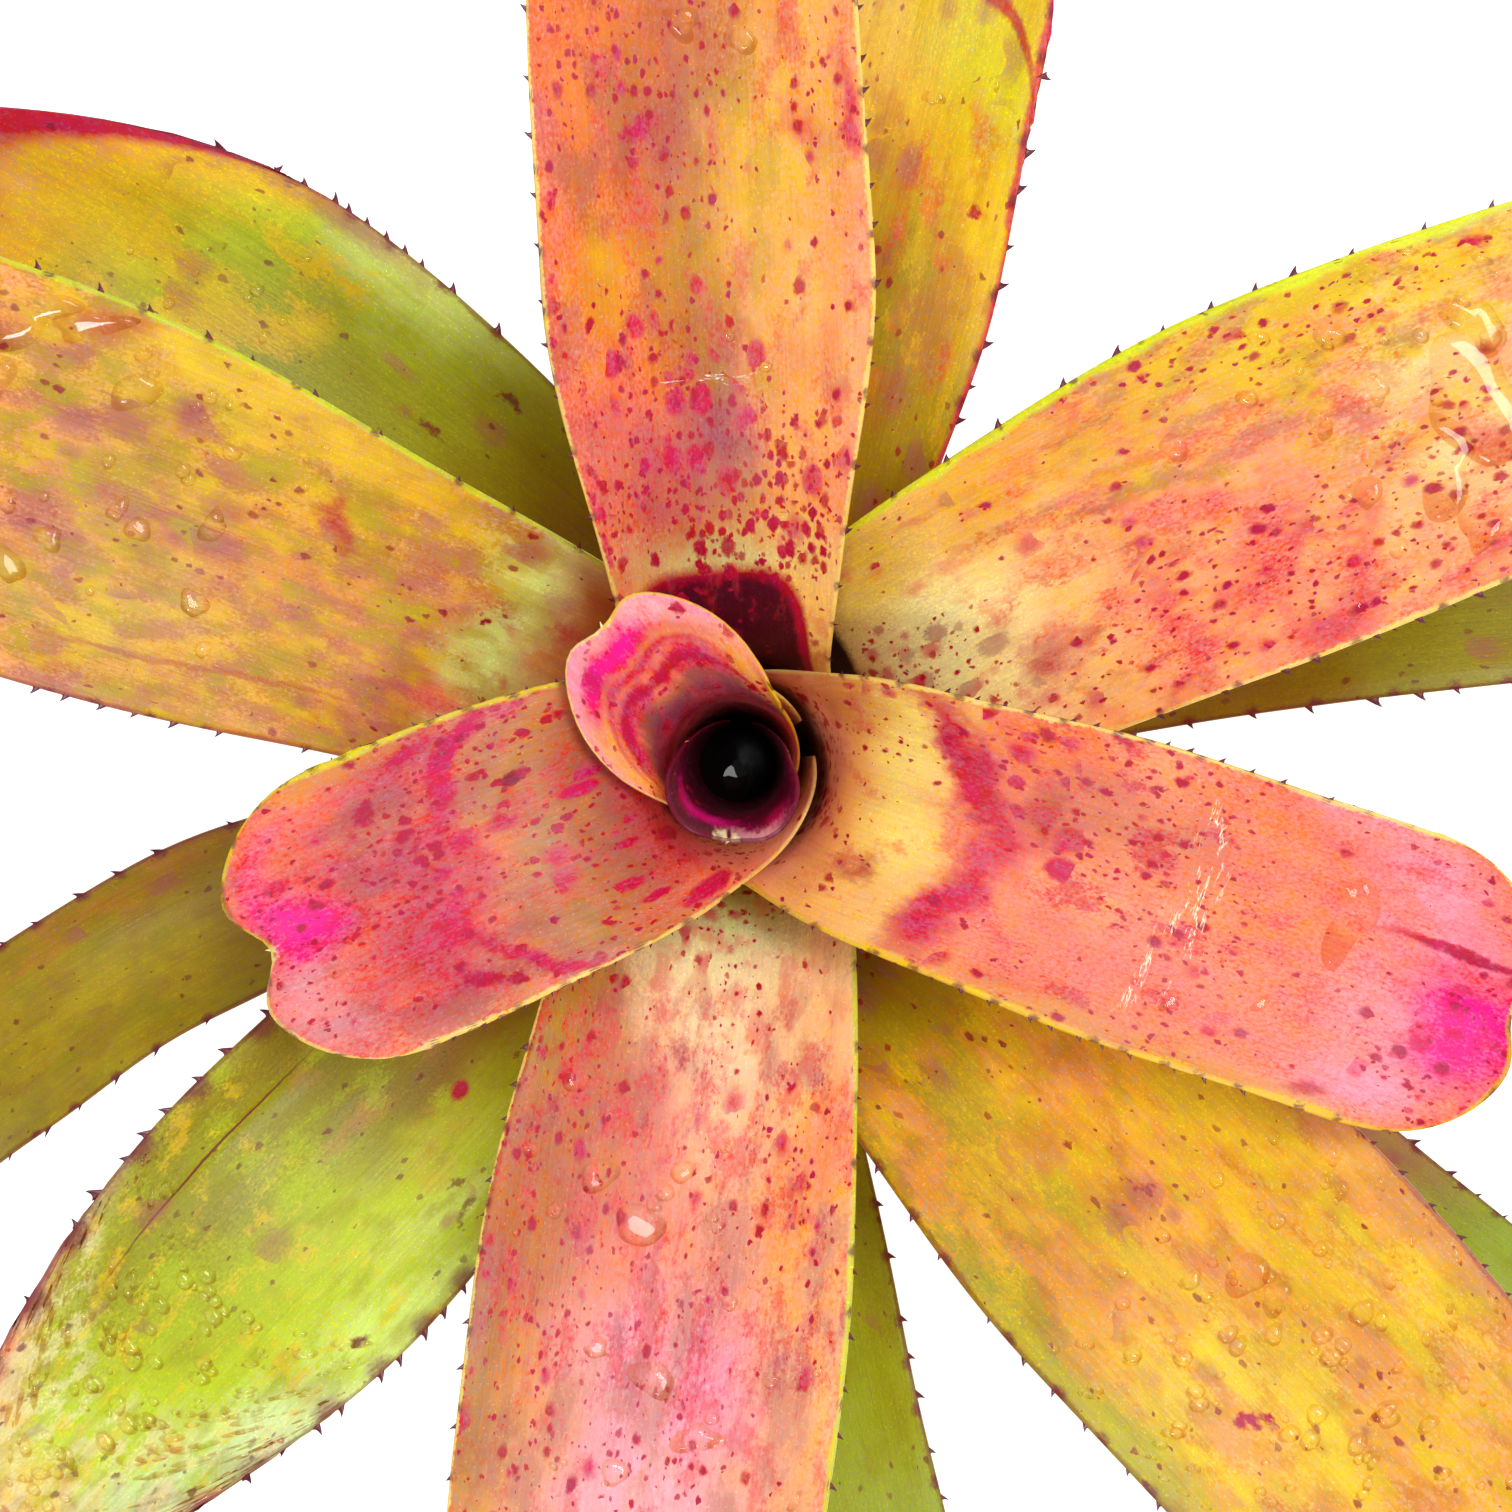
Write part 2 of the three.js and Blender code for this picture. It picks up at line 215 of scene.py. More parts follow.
@dataclass
class Leaf:
    """A leaf's shape. Lengths are in millimetres and angles in degrees.

    The sheath ends at the shoulder's height. The blade then bends out to its lean from upright,
    and from there to its droop at the leaf's end. A fold has its place and spread across the
    leaf, its depth, and where along the leaf it starts and ends.
    """
    azimuth: float
    length: float
    width: float
    shoulder: float
    bend: float
    lean: float
    droop: float
    sheath_width: float = 60
    clasp_end: float = 0.35
    waist: float = 0.82
    widest_at: float = 0.25
    turn: float = 0
    tip_bend: float = 0
    channel: float = 0.5
    channel_end: float = 0.25
    taper: float = 0.1
    round_end: float = 0.5
    notch: float = 3
    rolled: bool = False
    spine_step: float = 9
    spine_size: float = 1
    wave: float = 0.5
    fold: tuple = ()
    order: int = field(default=0, init=False)

    def settle(self, order):
        """Gives the leaf its place in the spiral and works out its midrib."""
        self.order = order
        self.cone_tilt = math.atan(CUP_FLARE + LAYER_FLARE * order)
        self.sheath_end = (self.shoulder - base_height(order)) / math.cos(self.cone_tilt)
        self.bend_end = self.sheath_end + self.bend
        middles = np.arange(0.5, self.length + 1)
        tilt = self.tilt_at(middles)
        steps = around_axis(np.sin(tilt), self.heading_at(middles), np.cos(tilt))
        height = base_height(order)
        start = around_axis(sheath_radius(order, height), math.radians(self.azimuth), height)
        self.midrib = np.concatenate([start[None], start + np.cumsum(steps, 0)])

    def tilt_at(self, s):
        bent = mix(self.cone_tilt, math.radians(self.lean), ease(s, self.sheath_end, self.bend_end))
        run = np.maximum((s - self.bend_end) / (self.length - self.bend_end), 0)
        drooped = math.radians(self.droop - self.lean) * run ** DROOP_GROWTH
        return bent + drooped + math.radians(self.tip_bend) * ease(s / self.length, *TIP_BEND)

    def heading_at(self, s):
        run = np.maximum((s - self.sheath_end) / (self.length - self.sheath_end), 0)
        return np.radians(self.azimuth + self.turn * run)

    def centre_at(self, s):
        places = np.arange(len(self.midrib))
        return np.stack([np.interp(np.maximum(s, 0), places, line) for line in self.midrib.T], -1)

    def width_at(self, s):
        waist_place = self.sheath_end + WAIST_PLACE * self.bend
        widest_place = mix(self.bend_end, self.length, self.widest_at)
        waist_width = self.waist * self.width
        narrowing = ease(s, self.clasp_end * self.sheath_end, waist_place)
        widening = (self.width - waist_width) * ease(s, waist_place, widest_place)
        whole = mix(self.sheath_width, waist_width, narrowing) + widening
        return whole * (1 - self.taper * ease(s / self.length, TAPER_START, 1))

    def end_cut(self, across):
        rounded = self.round_end * self.width * (1 - np.cos(across * np.pi / 2))
        return rounded + self.notch * np.exp(-((across / NOTCH_SPREAD) ** 2))

    def skin_place(self, along, across):
        """The true length along the leaf, and the true share of its half width."""
        share = mix(across, np.sin(across * np.pi / 2), ease(along, *CROWDING))
        return along * self.length - self.end_cut(across) * ease(along, *ROUNDING), share

    def bare_point(self, along, across):
        s, share = self.skin_place(along, across)
        centre = self.centre_at(s)
        width = self.width_at(s)
        radius = np.hypot(centre[..., 0], centre[..., 1])
        clasp = share * np.minimum(width / 2 / radius, WIDEST_CLASP)
        clasping = around_axis(radius, math.radians(self.azimuth) + clasp, centre[..., 2])
        if self.rolled:
            return clasping
        tilt = self.tilt_at(s)
        heading = self.heading_at(s)
        hollow = mix(self.channel, self.channel_end, ease(s, self.sheath_end, self.length))
        sideways = width / 2 / hollow * np.sin(share * hollow)
        lift = width / 2 / hollow * (1 - np.cos(share * hollow))
        side = around_axis(1.0, heading + np.pi / 2, 0.0)
        up = around_axis(-np.cos(tilt), heading, np.sin(tilt))
        blade = centre + side * sideways[..., None] + up * lift[..., None]
        open_from = self.sheath_end - OPENING_LEAD
        opening = ease(s, open_from, self.sheath_end + OPENING_END * self.bend)
        return mix(clasping, blade, opening[..., None])

    def frame_at(self, along, across):
        """Unit vectors lengthways, crossways and out of the upper face."""
        lengthways = self.bare_point(np.minimum(along + NORMAL_REACH, 1), across)
        lengthways = unit(lengthways - self.bare_point(np.maximum(along - NORMAL_REACH, 0), across))
        crossways = self.bare_point(along, np.minimum(across + NORMAL_REACH, 1))
        crossways = unit(crossways - self.bare_point(along, np.maximum(across - NORMAL_REACH, -1)))
        return lengthways, crossways, unit(np.cross(lengthways, crossways))

    def relief(self, along, across):
        """Height of the skin's own unevenness over the bare form."""
        s, share = self.skin_place(along, across)
        free = ease(s, self.sheath_end - FREE_LEAD, self.bend_end)
        phase = PHASE_STEP * self.order
        beat = s / EDGE_WAVE + phase + SIDE_PHASE * np.sign(share)
        edge = np.abs(share) ** EDGE_POWER * np.sin(beat)
        short, long = DENT_SPACING
        slight, steep = DENT_SLANT
        dents = np.sin(s / short + slight * share + phase)
        dents = dents * np.sin(steep * share + s / long + phase)
        keel = KEEL_DEPTH * np.exp(-((share / KEEL_SPREAD) ** 2)) * ease(along, *KEEL_PLACE)
        height = self.wave * edge + DENT_DEPTH * dents - keel
        for place, spread, depth, start, end in self.fold:
            reach = ease(along, start, start + FOLD_FADE)
            reach = reach * (1 - ease(along, end, end + FOLD_FADE))
            height = height - depth * reach * np.exp(-(((share - place) / spread) ** 2))
        return free * height

    def point(self, along, across):
        normal = self.frame_at(along, across)[2]
        return self.bare_point(along, across) + normal * self.relief(along, across)[..., None]

    def thickness_at(self, along):
        opened = ease(along * self.length, self.sheath_end, self.bend_end)
        return mix(SHEATH_THICKNESS, BLADE_THICKNESS, opened)

    def edge_distance(self, along, across):
        """How far a place lies from the nearest margin or from the leaf's end."""
        s, share = self.skin_place(along, across)
        end = self.skin_place(np.ones_like(along), across)[0]
        return np.minimum((1 - np.abs(share)) * self.width_at(s) / 2, end - s)

    def spine_stations(self, side):
        """Where spines stand along one margin: a step apart, with some play."""
        rng = random.Random(10 * self.order + side)
        start = self.sheath_end + self.bend * FIRST_SPINE
        stations = [start + rng.uniform(0, self.spine_step)]
        while stations[-1] < self.length * LAST_SPINE:
            stations.append(stations[-1] + self.spine_step * rng.uniform(*SPACING_PLAY))
        return stations[:-1]

    def spine_distance(self, s, share):
        """How far a place lies along the leaf from the next spine on its side."""
        sides = {side: np.array(self.spine_stations(side)) for side in (-1, 1)}
        left, right = (np.abs(s[:, None] - sides[side]).min(1) for side in (1, -1))
        return np.where(share > 0, left, right)


# The leaves, youngest first: azimuth, length, width, shoulder, bend, lean and droop, and then what
# sets each one apart from a usual leaf.
LEAVES = [
    Leaf(265, 107, 34, 138, 12, 22, 28, sheath_width=44, round_end=0.4, rolled=True),
    Leaf(134, 118, 34, 134, 20, 60, 70, sheath_width=56, round_end=0.66, rolled=True),
    Leaf(200, 154, 38, 128, 32, 86, 96, turn=4, sheath_width=66, clasp_end=0.7, waist=0.92,
         channel_end=0.2, taper=0.02, notch=5, spine_step=5, spine_size=0.4),
    Leaf(342, 187, 38, 122, 36, 82, 96, clasp_end=0.5, waist=0.9, channel_end=0.2, taper=0.02,
         spine_step=5.5, spine_size=0.5, fold=((0.1, 0.06, 1.6, 0.9, 1.0),)),
    Leaf(93.5, 206, 42, 104, 46, 68, 84, turn=-1, sheath_width=64, clasp_end=0.5, waist=0.68,
         spine_step=8, spine_size=0.65),
    Leaf(261.5, 212, 48, 98, 52, 70, 102, turn=3, sheath_width=66, spine_step=8, spine_size=0.65),
    Leaf(32.5, 220, 46, 92, 56, 69, 104, turn=-19, sheath_width=66, spine_size=0.8),
    Leaf(155.5, 220, 52, 86, 58, 70, 106, turn=8, sheath_width=66, waist=0.68, widest_at=0.5,
         spine_size=0.75),
    Leaf(314, 222, 52, 80, 60, 68, 106, turn=-2, sheath_width=66, spine_size=0.75),
    Leaf(77, 174, 40, 74, 60, 66, 104, tip_bend=75),
    Leaf(226, 204, 46, 66, 60, 68, 110, taper=0.5, round_end=0.9, spine_step=10,
         fold=((-0.6, 0.025, 0.5, 0.55, 0.75),)),
    Leaf(27, 206, 40, 56, 60, 70, 116, turn=-36),
    Leaf(133, 193, 46, 52, 60, 68, 112, turn=25, taper=0.6, round_end=1.1),
    Leaf(268, 204, 40, 46, 60, 70, 122, turn=26),
    Leaf(26, 210, 38, 24, 48, 82, 161),
    Leaf(190, 204, 31, 21, 48, 82, 159, turn=42, waist=0.62, channel=1, channel_end=0.6),
    Leaf(322, 204, 38, 17, 48, 82, 152),
]
for position, leaf in enumerate(LEAVES):
    leaf.settle(position)

# The pigments of the skins. The near-black one paints shade and is no pigment.
COLOURS = {
    "cream": "#f8e9b4", "straw": "#ffe682", "lime_rim": "#dce438", "lime": "#c6d838",
    "chartreuse": "#aebc04", "pale_green": "#d8ee84", "green": "#98a43c", "moss": "#929400",
    "olive": "#8e8408", "bronze": "#8c6814", "mustard": "#dab410", "gold": "#eec43c",
    "amber": "#ecaa40", "ochre": "#da9450", "tan": "#cc8e5c", "brown": "#b86846",
    "apricot": "#fdc27a", "peach": "#fcac68", "orange": "#f08044", "salmon": "#fe9a78",
    "coral": "#fb846c", "rose": "#dc5660", "pink": "#fd98a8", "lilac": "#f8b0b4",
    "magenta": "#f8108a", "cerise": "#cc225a", "crimson": "#b40e3c", "oxblood": "#900c2c",
    "blush": "#ffc8a0", "khaki": "#a68c18", "umber": "#90702e", "maroon": "#6e1630",
    "wine": "#520a24", "mauve": "#a86054", "plum": "#a05060", "mint": "#d6e8a6", "black": "#1c0a08",
    "scar": "#fff2d0", "silver": "#c9c8a4",
}

# The small marks that many leaves share.
FRECKLES = (
    Mottle("rose", 4, 0.25, strength=0.5),
    Spots("cerise", 3.2, 0.12, strength=0.8, soft=0.7),
    Spots("crimson", 1.8, 0.2, strength=1, soft=0.5),
    Spots("crimson", 0.9, 0.16, strength=1),
)
DULL_FRECKLES = (
    Mottle("brown", 4, 0.15, strength=0.4),
    Spots("plum", 5, 0.12, strength=0.5, soft=0.7),
    Spots("oxblood", 1.3, 0.08, strength=0.8),
)
GREEN_FRECKLES = (
    Spots("plum", 5, 0.06, strength=0.5, soft=0.7),
    Spots("maroon", 1.3, 0.07, strength=0.7),
)
PURPLE = Rim("maroon", 0.7, 0.5, 1.6)

# How each leaf's upper skin is coloured, youngest first. Later marks cover earlier ones.
LOOKS = [
    # leaf_01
    Look(
        run=((0.02, "maroon"), (0.08, "wine"), (0.3, "wine")),
        marks=(
            Patch("magenta", 0.965, -0.2, 0.016, 0.22, 0.7, 0.9),
            Patch("lilac", 0.985, 0.16, 0.011, 0.16, 0.7, 0.9),
            Patch("cerise", 0.97, 0.3, 0.014, 0.1, 0.7, 0.9),
            Patch("plum", 0.8, 0.95, 0.2, 0.25, 0.5, 0.9), Patch("cream", 1, 0, 0.012, 0.07, 0.9),
            Patch("maroon", 0.99, 0, 0.012, 0.015, 1, rough=0.2), Spots("crimson", 1.5, 0.3),
        ),
        left=Rim("maroon", 0.3, halo=0), right=Rim("maroon", 0.3, halo=0), inward=14,
    ),
    # leaf_02
    Look(
        run=(
            (0.5, "pink"), (0.8, "rose"), (0.86, "plum"), (0.885, "mauve"), (0.903, "rose"),
            (0.918, "cerise"), (0.932, "rose"), (0.95, "peach"), (1, "pink"),
        ),
        marks=(
            Patch("maroon", 0.8, 0.35, 0.08, 0.5, 0.5), Patch("peach", 0.95, -0.75, 0.05, 0.3, 0.8),
            Patch("peach", 0.94, 0.75, 0.05, 0.25, 0.8),
            Patch("crimson", 0.955, -0.86, 0.03, 0.08, 0.6, 0.8),
            Mottle("salmon", 3, 0.4, 0.88, 1, 0.5), Spots("crimson", 3, 0.6, 0.84, 0.95, 0.9, 0.5),
            Patch("crimson", 0.914, -0.1, 0.007, 0.8, 0.7, 0.6, rough=0.4, tilt=0.01),
            Patch("cerise", 0.94, 0.1, 0.006, 0.5, 0.7, 0.7, rough=0.4),
            Patch("cerise", 0.962, 0.02, 0.02, 0.34, 0.7, 0.9),
            Patch("magenta", 0.97, 0.08, 0.013, 0.24, 1, 0.7),
            Patch("lilac", 0.982, -0.22, 0.014, 0.12, 0.8, 0.9),
            Patch("pink", 0.985, 0.32, 0.01, 0.12, 0.7, 0.9), Patch("cream", 1, 0, 0.01, 0.04, 0.8),
            Spots("crimson", 2, 0.8, 0.88), Spots("cerise", 3, 0.5, 0.9, stretch=0.5), *FRECKLES,
        ),
        left=Rim("straw", 0.4, halo=0), right=Rim("gold", 0.7, halo=0),
    ),
    # leaf_03
    Look(
        # Partly painted light: the blush at the sheath's foot is paler than the skin, to lift the
        # shade that leaf_02 casts there.
        run=(
            (0.5, "blush"), (0.58, "pink"), (0.63, "rose"), (0.68, "mauve"), (0.72, "brown"),
            (0.765, "tan"), (0.8, "coral"), (0.86, "rose"), (1, "coral"),
        ),
        marks=(
            # Partly painted light: the blush patch lifts the shaded sheath.
            Patch("blush", 0.5, 0.95, 0.15, 0.4, 0.8), Patch("coral", 0.64, 0.95, 0.08, 0.4, 0.5),
            Patch("ochre", 0.94, -0.95, 0.12, 0.3, 0.8),
            Patch("salmon", 0.88, 0.98, 0.12, 0.3, 0.8),
            # Painted shade: the narrow umber band across the leaf at 0.742 stands in for the shade
            # in the bend there.
            Patch("umber", 0.742, 0.3, 0.008, 0.9, 0.5), Mottle("tan", 6, 0.35, 0.68, 1, 0.45),
            Mottle("plum", 7, 0.5, 0.76, 1, 0.5), Patch("plum", 0.84, -0.05, 0.09, 1.1, 0.3, 1),
            Patch("tan", 0.75, 0, 0.05, 1, 0.3, 1), Spots("cerise", 4, 1, 0.54, 0.7, 0.9, 3.5),
            Patch("cerise", 0.808, -0.62, 0.015, 0.32, 0.95, 0.45),
            Patch("cerise", 0.813, -0.2, 0.012, 0.25, 0.5, 0.9),
            Patch("cerise", 0.826, 0.2, 0.022, 0.12, 0.75, 0.8),
            Patch("cerise", 0.8, 0.62, 0.012, 0.32, 0.85, 0.6, tilt=-0.05),
            Spots("crimson", 1.6, 0.5, 0.72, 0.86, 1),
            Patch("crimson", 0.855, 0.5, 0.011, 0.08, 0.9),
            Patch("crimson", 0.84, 0.62, 0.01, 0.06, 0.9),
            Patch("crimson", 0.875, -0.35, 0.013, 0.06, 0.9),
            Patch("cerise", 0.85, -0.65, 0.013, 0.06, 0.8),
            Patch("oxblood", 0.745, -0.35, 0.008, 0.035, 1, 0.3, rough=0.3),
            Patch("lilac", 0.97, 0.3, 0.03, 0.25, 0.5, 0.8),
            Patch("magenta", 0.965, -0.05, 0.03, 0.15, 1, 0.8),
            Patch("magenta", 0.975, -0.3, 0.014, 0.22, 0.35, 0.8),
            Patch("cream", 1, 0.02, 0.008, 0.04, 0.9), *FRECKLES,
        ),
        left=Rim("straw", 0.6), right=Rim("lime_rim", 0.9, 0.6),
    ),
    # leaf_04
    Look(
        # Partly painted light: blush and apricot at the foot are paler than the skin, to lift the
        # shade of the cup there.
        run=(
            (0.46, "blush"), (0.5, "apricot"), (0.585, "apricot"), (0.63, "salmon"),
            (0.72, "salmon"), (0.85, "coral"), (0.94, "pink"), (1, "coral"),
        ),
        marks=(
            Patch("ochre", 0.52, 0.9, 0.08, 0.35, 0.6),
            Patch("straw", 0.55, 0.3, 0.022, 0.7, 0.8, 0.9),
            Patch("orange", 0.66, 0.9, 0.05, 0.5, 0.7), Mottle("coral", 6, 0.45, 0.6, 1, 0.5),
            Mottle("orange", 7, 0.35, 0.6, 0.9, 0.4, 1),
            Spots("cerise", 3.4, 0.7, 0.34, 0.5, 0.9, 2.5),
            Patch("crimson", 0.545, -0.45, 0.01, 0.13, 0.7, 0.9),
            Patch("rose", 0.72, -0.6, 0.09, 0.4, 0.4), Patch("rose", 0.615, 0, 0.02, 1, 0.4),
            Patch("cerise", 0.597, 0.5, 0.018, 0.5, 0.85, 0.7, tilt=-0.075),
            Patch("cerise", 0.609, -0.5, 0.017, 0.5, 0.85, 0.7, tilt=0.036),
            Patch("crimson", 0.597, 0.5, 0.01, 0.4, 0.5, 0.9, tilt=-0.075),
            Patch("crimson", 0.652, 0.25, 0.012, 0.15, 0.8, 0.9),
            Spots("cerise", 4, 0.7, 0.62, 0.67, 0.9),
            Patch("mauve", 0.7, 0.35, 0.07, 0.22, 0.5, 0.9),
            Mottle("crimson", 4, 0.25, 0.66, 0.8, 0.5),
            Patch("crimson", 0.722, 0.93, 0.008, 0.12, 0.9),
            Patch("crimson", 0.65, 0.82, 0.008, 0.07, 0.9),
            Patch("magenta", 0.968, -0.12, 0.036, 0.24, 0.95, 1),
            Spots("cerise", 4, 0.8, 0.92, 1, 0.7),
            Patch("crimson", 0.945, 0.19, 0.05, 0.02, 0.95, 0.5, rough=0.3),
            Patch("ochre", 0.82, -0.98, 0.2, 0.3, 0.85),
            Patch("crimson", 0.905, -0.68, 0.015, 0.09, 0.7), *FRECKLES,
        ),
        left=Rim("straw", 0.6), right=Rim("gold", 1),
        scratches=((0.77, 0.1, 0.014, 0.7), (0.755, -0.3, 0.01, 0.3)),
    ),
    # leaf_05
    Look(
        run=(
            (0.46, "straw"), (0.51, "tan"), (0.56, "plum"), (0.62, "brown"), (0.67, "ochre"),
            (0.8, "brown"), (1, "orange"),
        ),
        marks=(
            Patch("orange", 0.72, 0.8, 0.28, 0.65, 0.95),
            Patch("coral", 0.7, 0.95, 0.26, 0.25, 0.6), Patch("coral", 0.55, 0.85, 0.09, 0.6, 0.7),
            Patch("peach", 0.72, -0.65, 0.28, 0.5, 0.95),
            Patch("gold", 0.72, -0.3, 0.07, 0.2, 0.5, 0.9),
            Patch("mustard", 0.67, 0.55, 0.03, 0.2, 0.5, 0.9),
            Patch("salmon", 0.68, -0.95, 0.2, 0.25, 0.7), Mottle("khaki", 5, 0.4, 0.58, 0.8, 0.35),
            Patch("brown", 0.495, 0.5, 0.035, 0.7, 0.55, 0.9),
            Patch("plum", 0.75, 0.2, 0.05, 0.25, 0.4, 0.9),
            Patch("plum", 0.55, 0.4, 0.03, 0.4, 0.5, 0.9),
            Patch("khaki", 0.66, 0.1, 0.05, 0.18, 0.35, 0.9),
            Mottle("apricot", 6, 0.35, 0.58, 1, 0.5, -1),
            Mottle("plum", 6, 0.45, 0.5, 0.85, 0.4, 0.6),
            Patch("mint", 0.475, 0.1, 0.02, 0.8, 0.45, 0.9),
            # The crimson arc at the sheath's foot, with wine inside it that is partly the sheath's
            # own colour and partly painted shade.
            Patch("crimson", 0.25, 0.1, 0.22, 0.93, 1, 0.03, corner=5, rough=0.12),
            Patch("wine", 0.25, 0.12, 0.212, 0.84, 1, 0.03, corner=5, rough=0.12),
            Spots("crimson", 2.4, 0.7, 0.46, 0.51, 1), Spots("crimson", 1.5, 1, 0.46, 0.53, 1),
            Spots("crimson", 2.2, 0.4, 0.5, 0.72, 0.9), Spots("cerise", 3.6, 0.25, 0.5, 0.7, 0.8),
            Patch("cerise", 0.8, -0.77, 0.018, 0.07, 0.8, 0.8),
            Patch("cerise", 0.776, -0.74, 0.013, 0.06, 0.8, 0.8),
            Patch("rose", 0.755, -0.5, 0.016, 0.09, 0.7, 0.8),
            Patch("rose", 0.81, -0.45, 0.013, 0.07, 0.6, 0.8),
            Patch("cerise", 0.752, 0.24, 0.008, 0.07, 0.8), *FRECKLES,
        ),
        left=Rim("straw", 0.5), right=Rim("straw", 0.6), scratches=((0.595, 0.05, 0.006, 0.3),),
    ),
    # leaf_06
    Look(
        run=(
            (0.34, "lime"), (0.4, "mint"), (0.45, "cream"), (0.52, "blush"), (0.62, "salmon"),
            (0.68, "pink"), (0.8, "lilac"), (1, "lilac"),
        ),
        marks=(
            Patch("peach", 0.72, 0.8, 0.3, 0.4, 0.8), Patch("coral", 0.55, 0.95, 0.04, 0.3, 0.5),
            Patch("rose", 0.57, -0.35, 0.06, 0.4, 0.5), Mottle("blush", 6, 0.35, 0.4, 1, 0.45),
            Patch("ochre", 0.74, -0.85, 0.2, 0.5, 0.9),
            Patch("brown", 0.56, -0.85, 0.14, 0.55, 0.8),
            Patch("umber", 0.77, -0.92, 0.08, 0.3, 0.5),
            Patch("khaki", 0.48, -0.95, 0.05, 0.4, 0.6), Mottle("rose", 4, 0.45, 0.47, 0.72, 0.6),
            Mottle("cerise", 3, 0.2, 0.5, 0.7, 0.4), Mottle("plum", 6, 0.35, 0.45, 1, 0.45),
            *FRECKLES,
        ),
        left=Rim("lime", 0.8), right=Rim("straw", 0.3),
    ),
    # leaf_07
    Look(
        # Partly painted light: the straw and cream at the foot are paler than the skin, to lift the
        # shade of the cup there.
        run=(
            (0.34, "straw"), (0.4, "cream"), (0.46, "cream"), (0.52, "apricot"), (0.57, "salmon"),
            (0.68, "salmon"), (0.73, "apricot"), (1, "peach"),
        ),
        marks=(
            # Partly painted light: straw and mint lift the shaded foot.
            Patch("straw", 0.43, -0.1, 0.06, 0.9, 0.5), Patch("mint", 0.4, 0, 0.05, 1.2, 0.45),
            Patch("amber", 0.58, 0.85, 0.15, 0.6, 0.9),
            # Painted highlight: the cream patch in the middle of the leaf stands in for the sheen
            # off its film of water.
            Patch("cream", 0.76, -0.05, 0.05, 0.4, 0.45, 0.9),
            Patch("mustard", 0.4, 0.8, 0.05, 0.5, 0.6), Patch("gold", 0.75, 0.85, 0.13, 0.5, 0.9),
            Patch("coral", 0.615, -0.48, 0.032, 0.26, 0.85, 0.2, corner=4),
            Patch("salmon", 0.72, -0.75, 0.16, 0.4, 0.8),
            Patch("rose", 0.68, -0.85, 0.03, 0.15, 0.8),
            Patch("cerise", 0.497, -0.45, 0.016, 0.14, 0.6, 0.9),
            Mottle("crimson", 4, 0.35, 0.47, 0.58, 0.6), Mottle("coral", 5, 0.45, 0.5, 1, 0.6),
            Mottle("rose", 5, 0.4, 0.56, 1, 0.6, -1), Mottle("apricot", 5, 0.4, 0.5, 1, 0.5),
            Mottle("mustard", 5, 0.5, 0.56, 1, 0.7, 1), Mottle("plum", 4, 0.35, 0.5, 1, 0.45, 1),
            Spots("plum", 4, 0.3, 0.38, 0.5, 0.6), *FRECKLES,
            # Painted shade: the near-black patch at the sheath's foot stands in for the deep shade
            # in the gap between this leaf and leaf_05.
            Patch("black", 0.25, 0.3, 0.105, 1.6, 1, 0.06, tilt=0.04, corner=4, rough=0.3),
        ),
        left=Rim("lime_rim", 1.6, 0.9, 0.8), right=Rim("straw", 0.6),
    ),
    # leaf_08
    Look(
        run=(
            (0.34, "brown"), (0.38, "tan"), (0.43, "mint"), (0.47, "tan"), (0.51, "ochre"),
            (0.6, "ochre"), (0.68, "tan"), (0.76, "peach"), (1, "peach"),
        ),
        marks=(
            Patch("gold", 0.62, -0.6, 0.16, 0.35, 0.6), Patch("gold", 0.62, 0.55, 0.1, 0.35, 0.5),
            Patch("lime", 0.43, -0.1, 0.03, 1, 0.4), Mottle("brown", 6, 0.5, 0.46, 1, 0.5),
            Mottle("mustard", 4, 0.5, 0.46, 1, 0.7), Mottle("plum", 5, 0.5, 0.42, 1, 0.55),
            Mottle("crimson", 5, 0.3, 0.42, 1, 0.5), Mottle("chartreuse", 5, 0.3, 0.46, 1, 0.5),
            Mottle("khaki", 6, 0.4, 0.4, 0.9, 0.5),
            Patch("crimson", 0.47, 0.5, 0.014, 0.2, 0.4, 0.9),
            Patch("gold", 0.62, -0.85, 0.12, 0.2, 0.7),
            Patch("rose", 0.455, 0.45, 0.013, 0.13, 0.7, 0.8),
            Patch("crimson", 0.418, 0.15, 0.009, 0.09, 0.6, 0.8),
            Patch("oxblood", 0.45, -0.3, 0.005, 0.035, 1),
            Patch("crimson", 0.388, -0.4, 0.009, 0.09, 0.6, 0.8),
            Patch("crimson", 0.55, -0.35, 0.011, 0.1, 0.7, 0.8),
            # Painted shade: the thin brown streak along one side of the leaf stands in for a line
            # of shade there.
            Patch("brown", 0.6, 0.63, 0.1, 0.02, 0.7, rough=0.3),
            Patch("crimson", 0.74, -0.8, 0.02, 0.12, 0.6, 0.8), *DULL_FRECKLES,
        ),
        left=Rim("mauve", 0.5), right=Rim("lime", 0.8),
    ),
    # leaf_09
    Look(
        run=(
            (0.38, "umber"), (0.44, "khaki"), (0.5, "mustard"), (0.57, "mustard"), (0.68, "gold"),
            (0.79, "gold"), (0.87, "peach"), (1, "peach"),
        ),
        marks=(
            Patch("khaki", 0.52, -0.7, 0.14, 0.5, 0.7), Patch("amber", 0.6, 0.15, 0.12, 0.3, 0.7),
            Mottle("ochre", 6, 0.5, 0.45, 1, 0.7), Mottle("mustard", 4, 0.5, 0.45, 1, 0.8),
            Mottle("brown", 7, 0.45, 0.4, 1, 0.55), Mottle("peach", 7, 0.45, 0.45, 1, 0.5),
            Patch("green", 0.78, -0.97, 0.2, 0.3, 0.6), Patch("tan", 0.75, 0.97, 0.16, 0.25, 0.6),
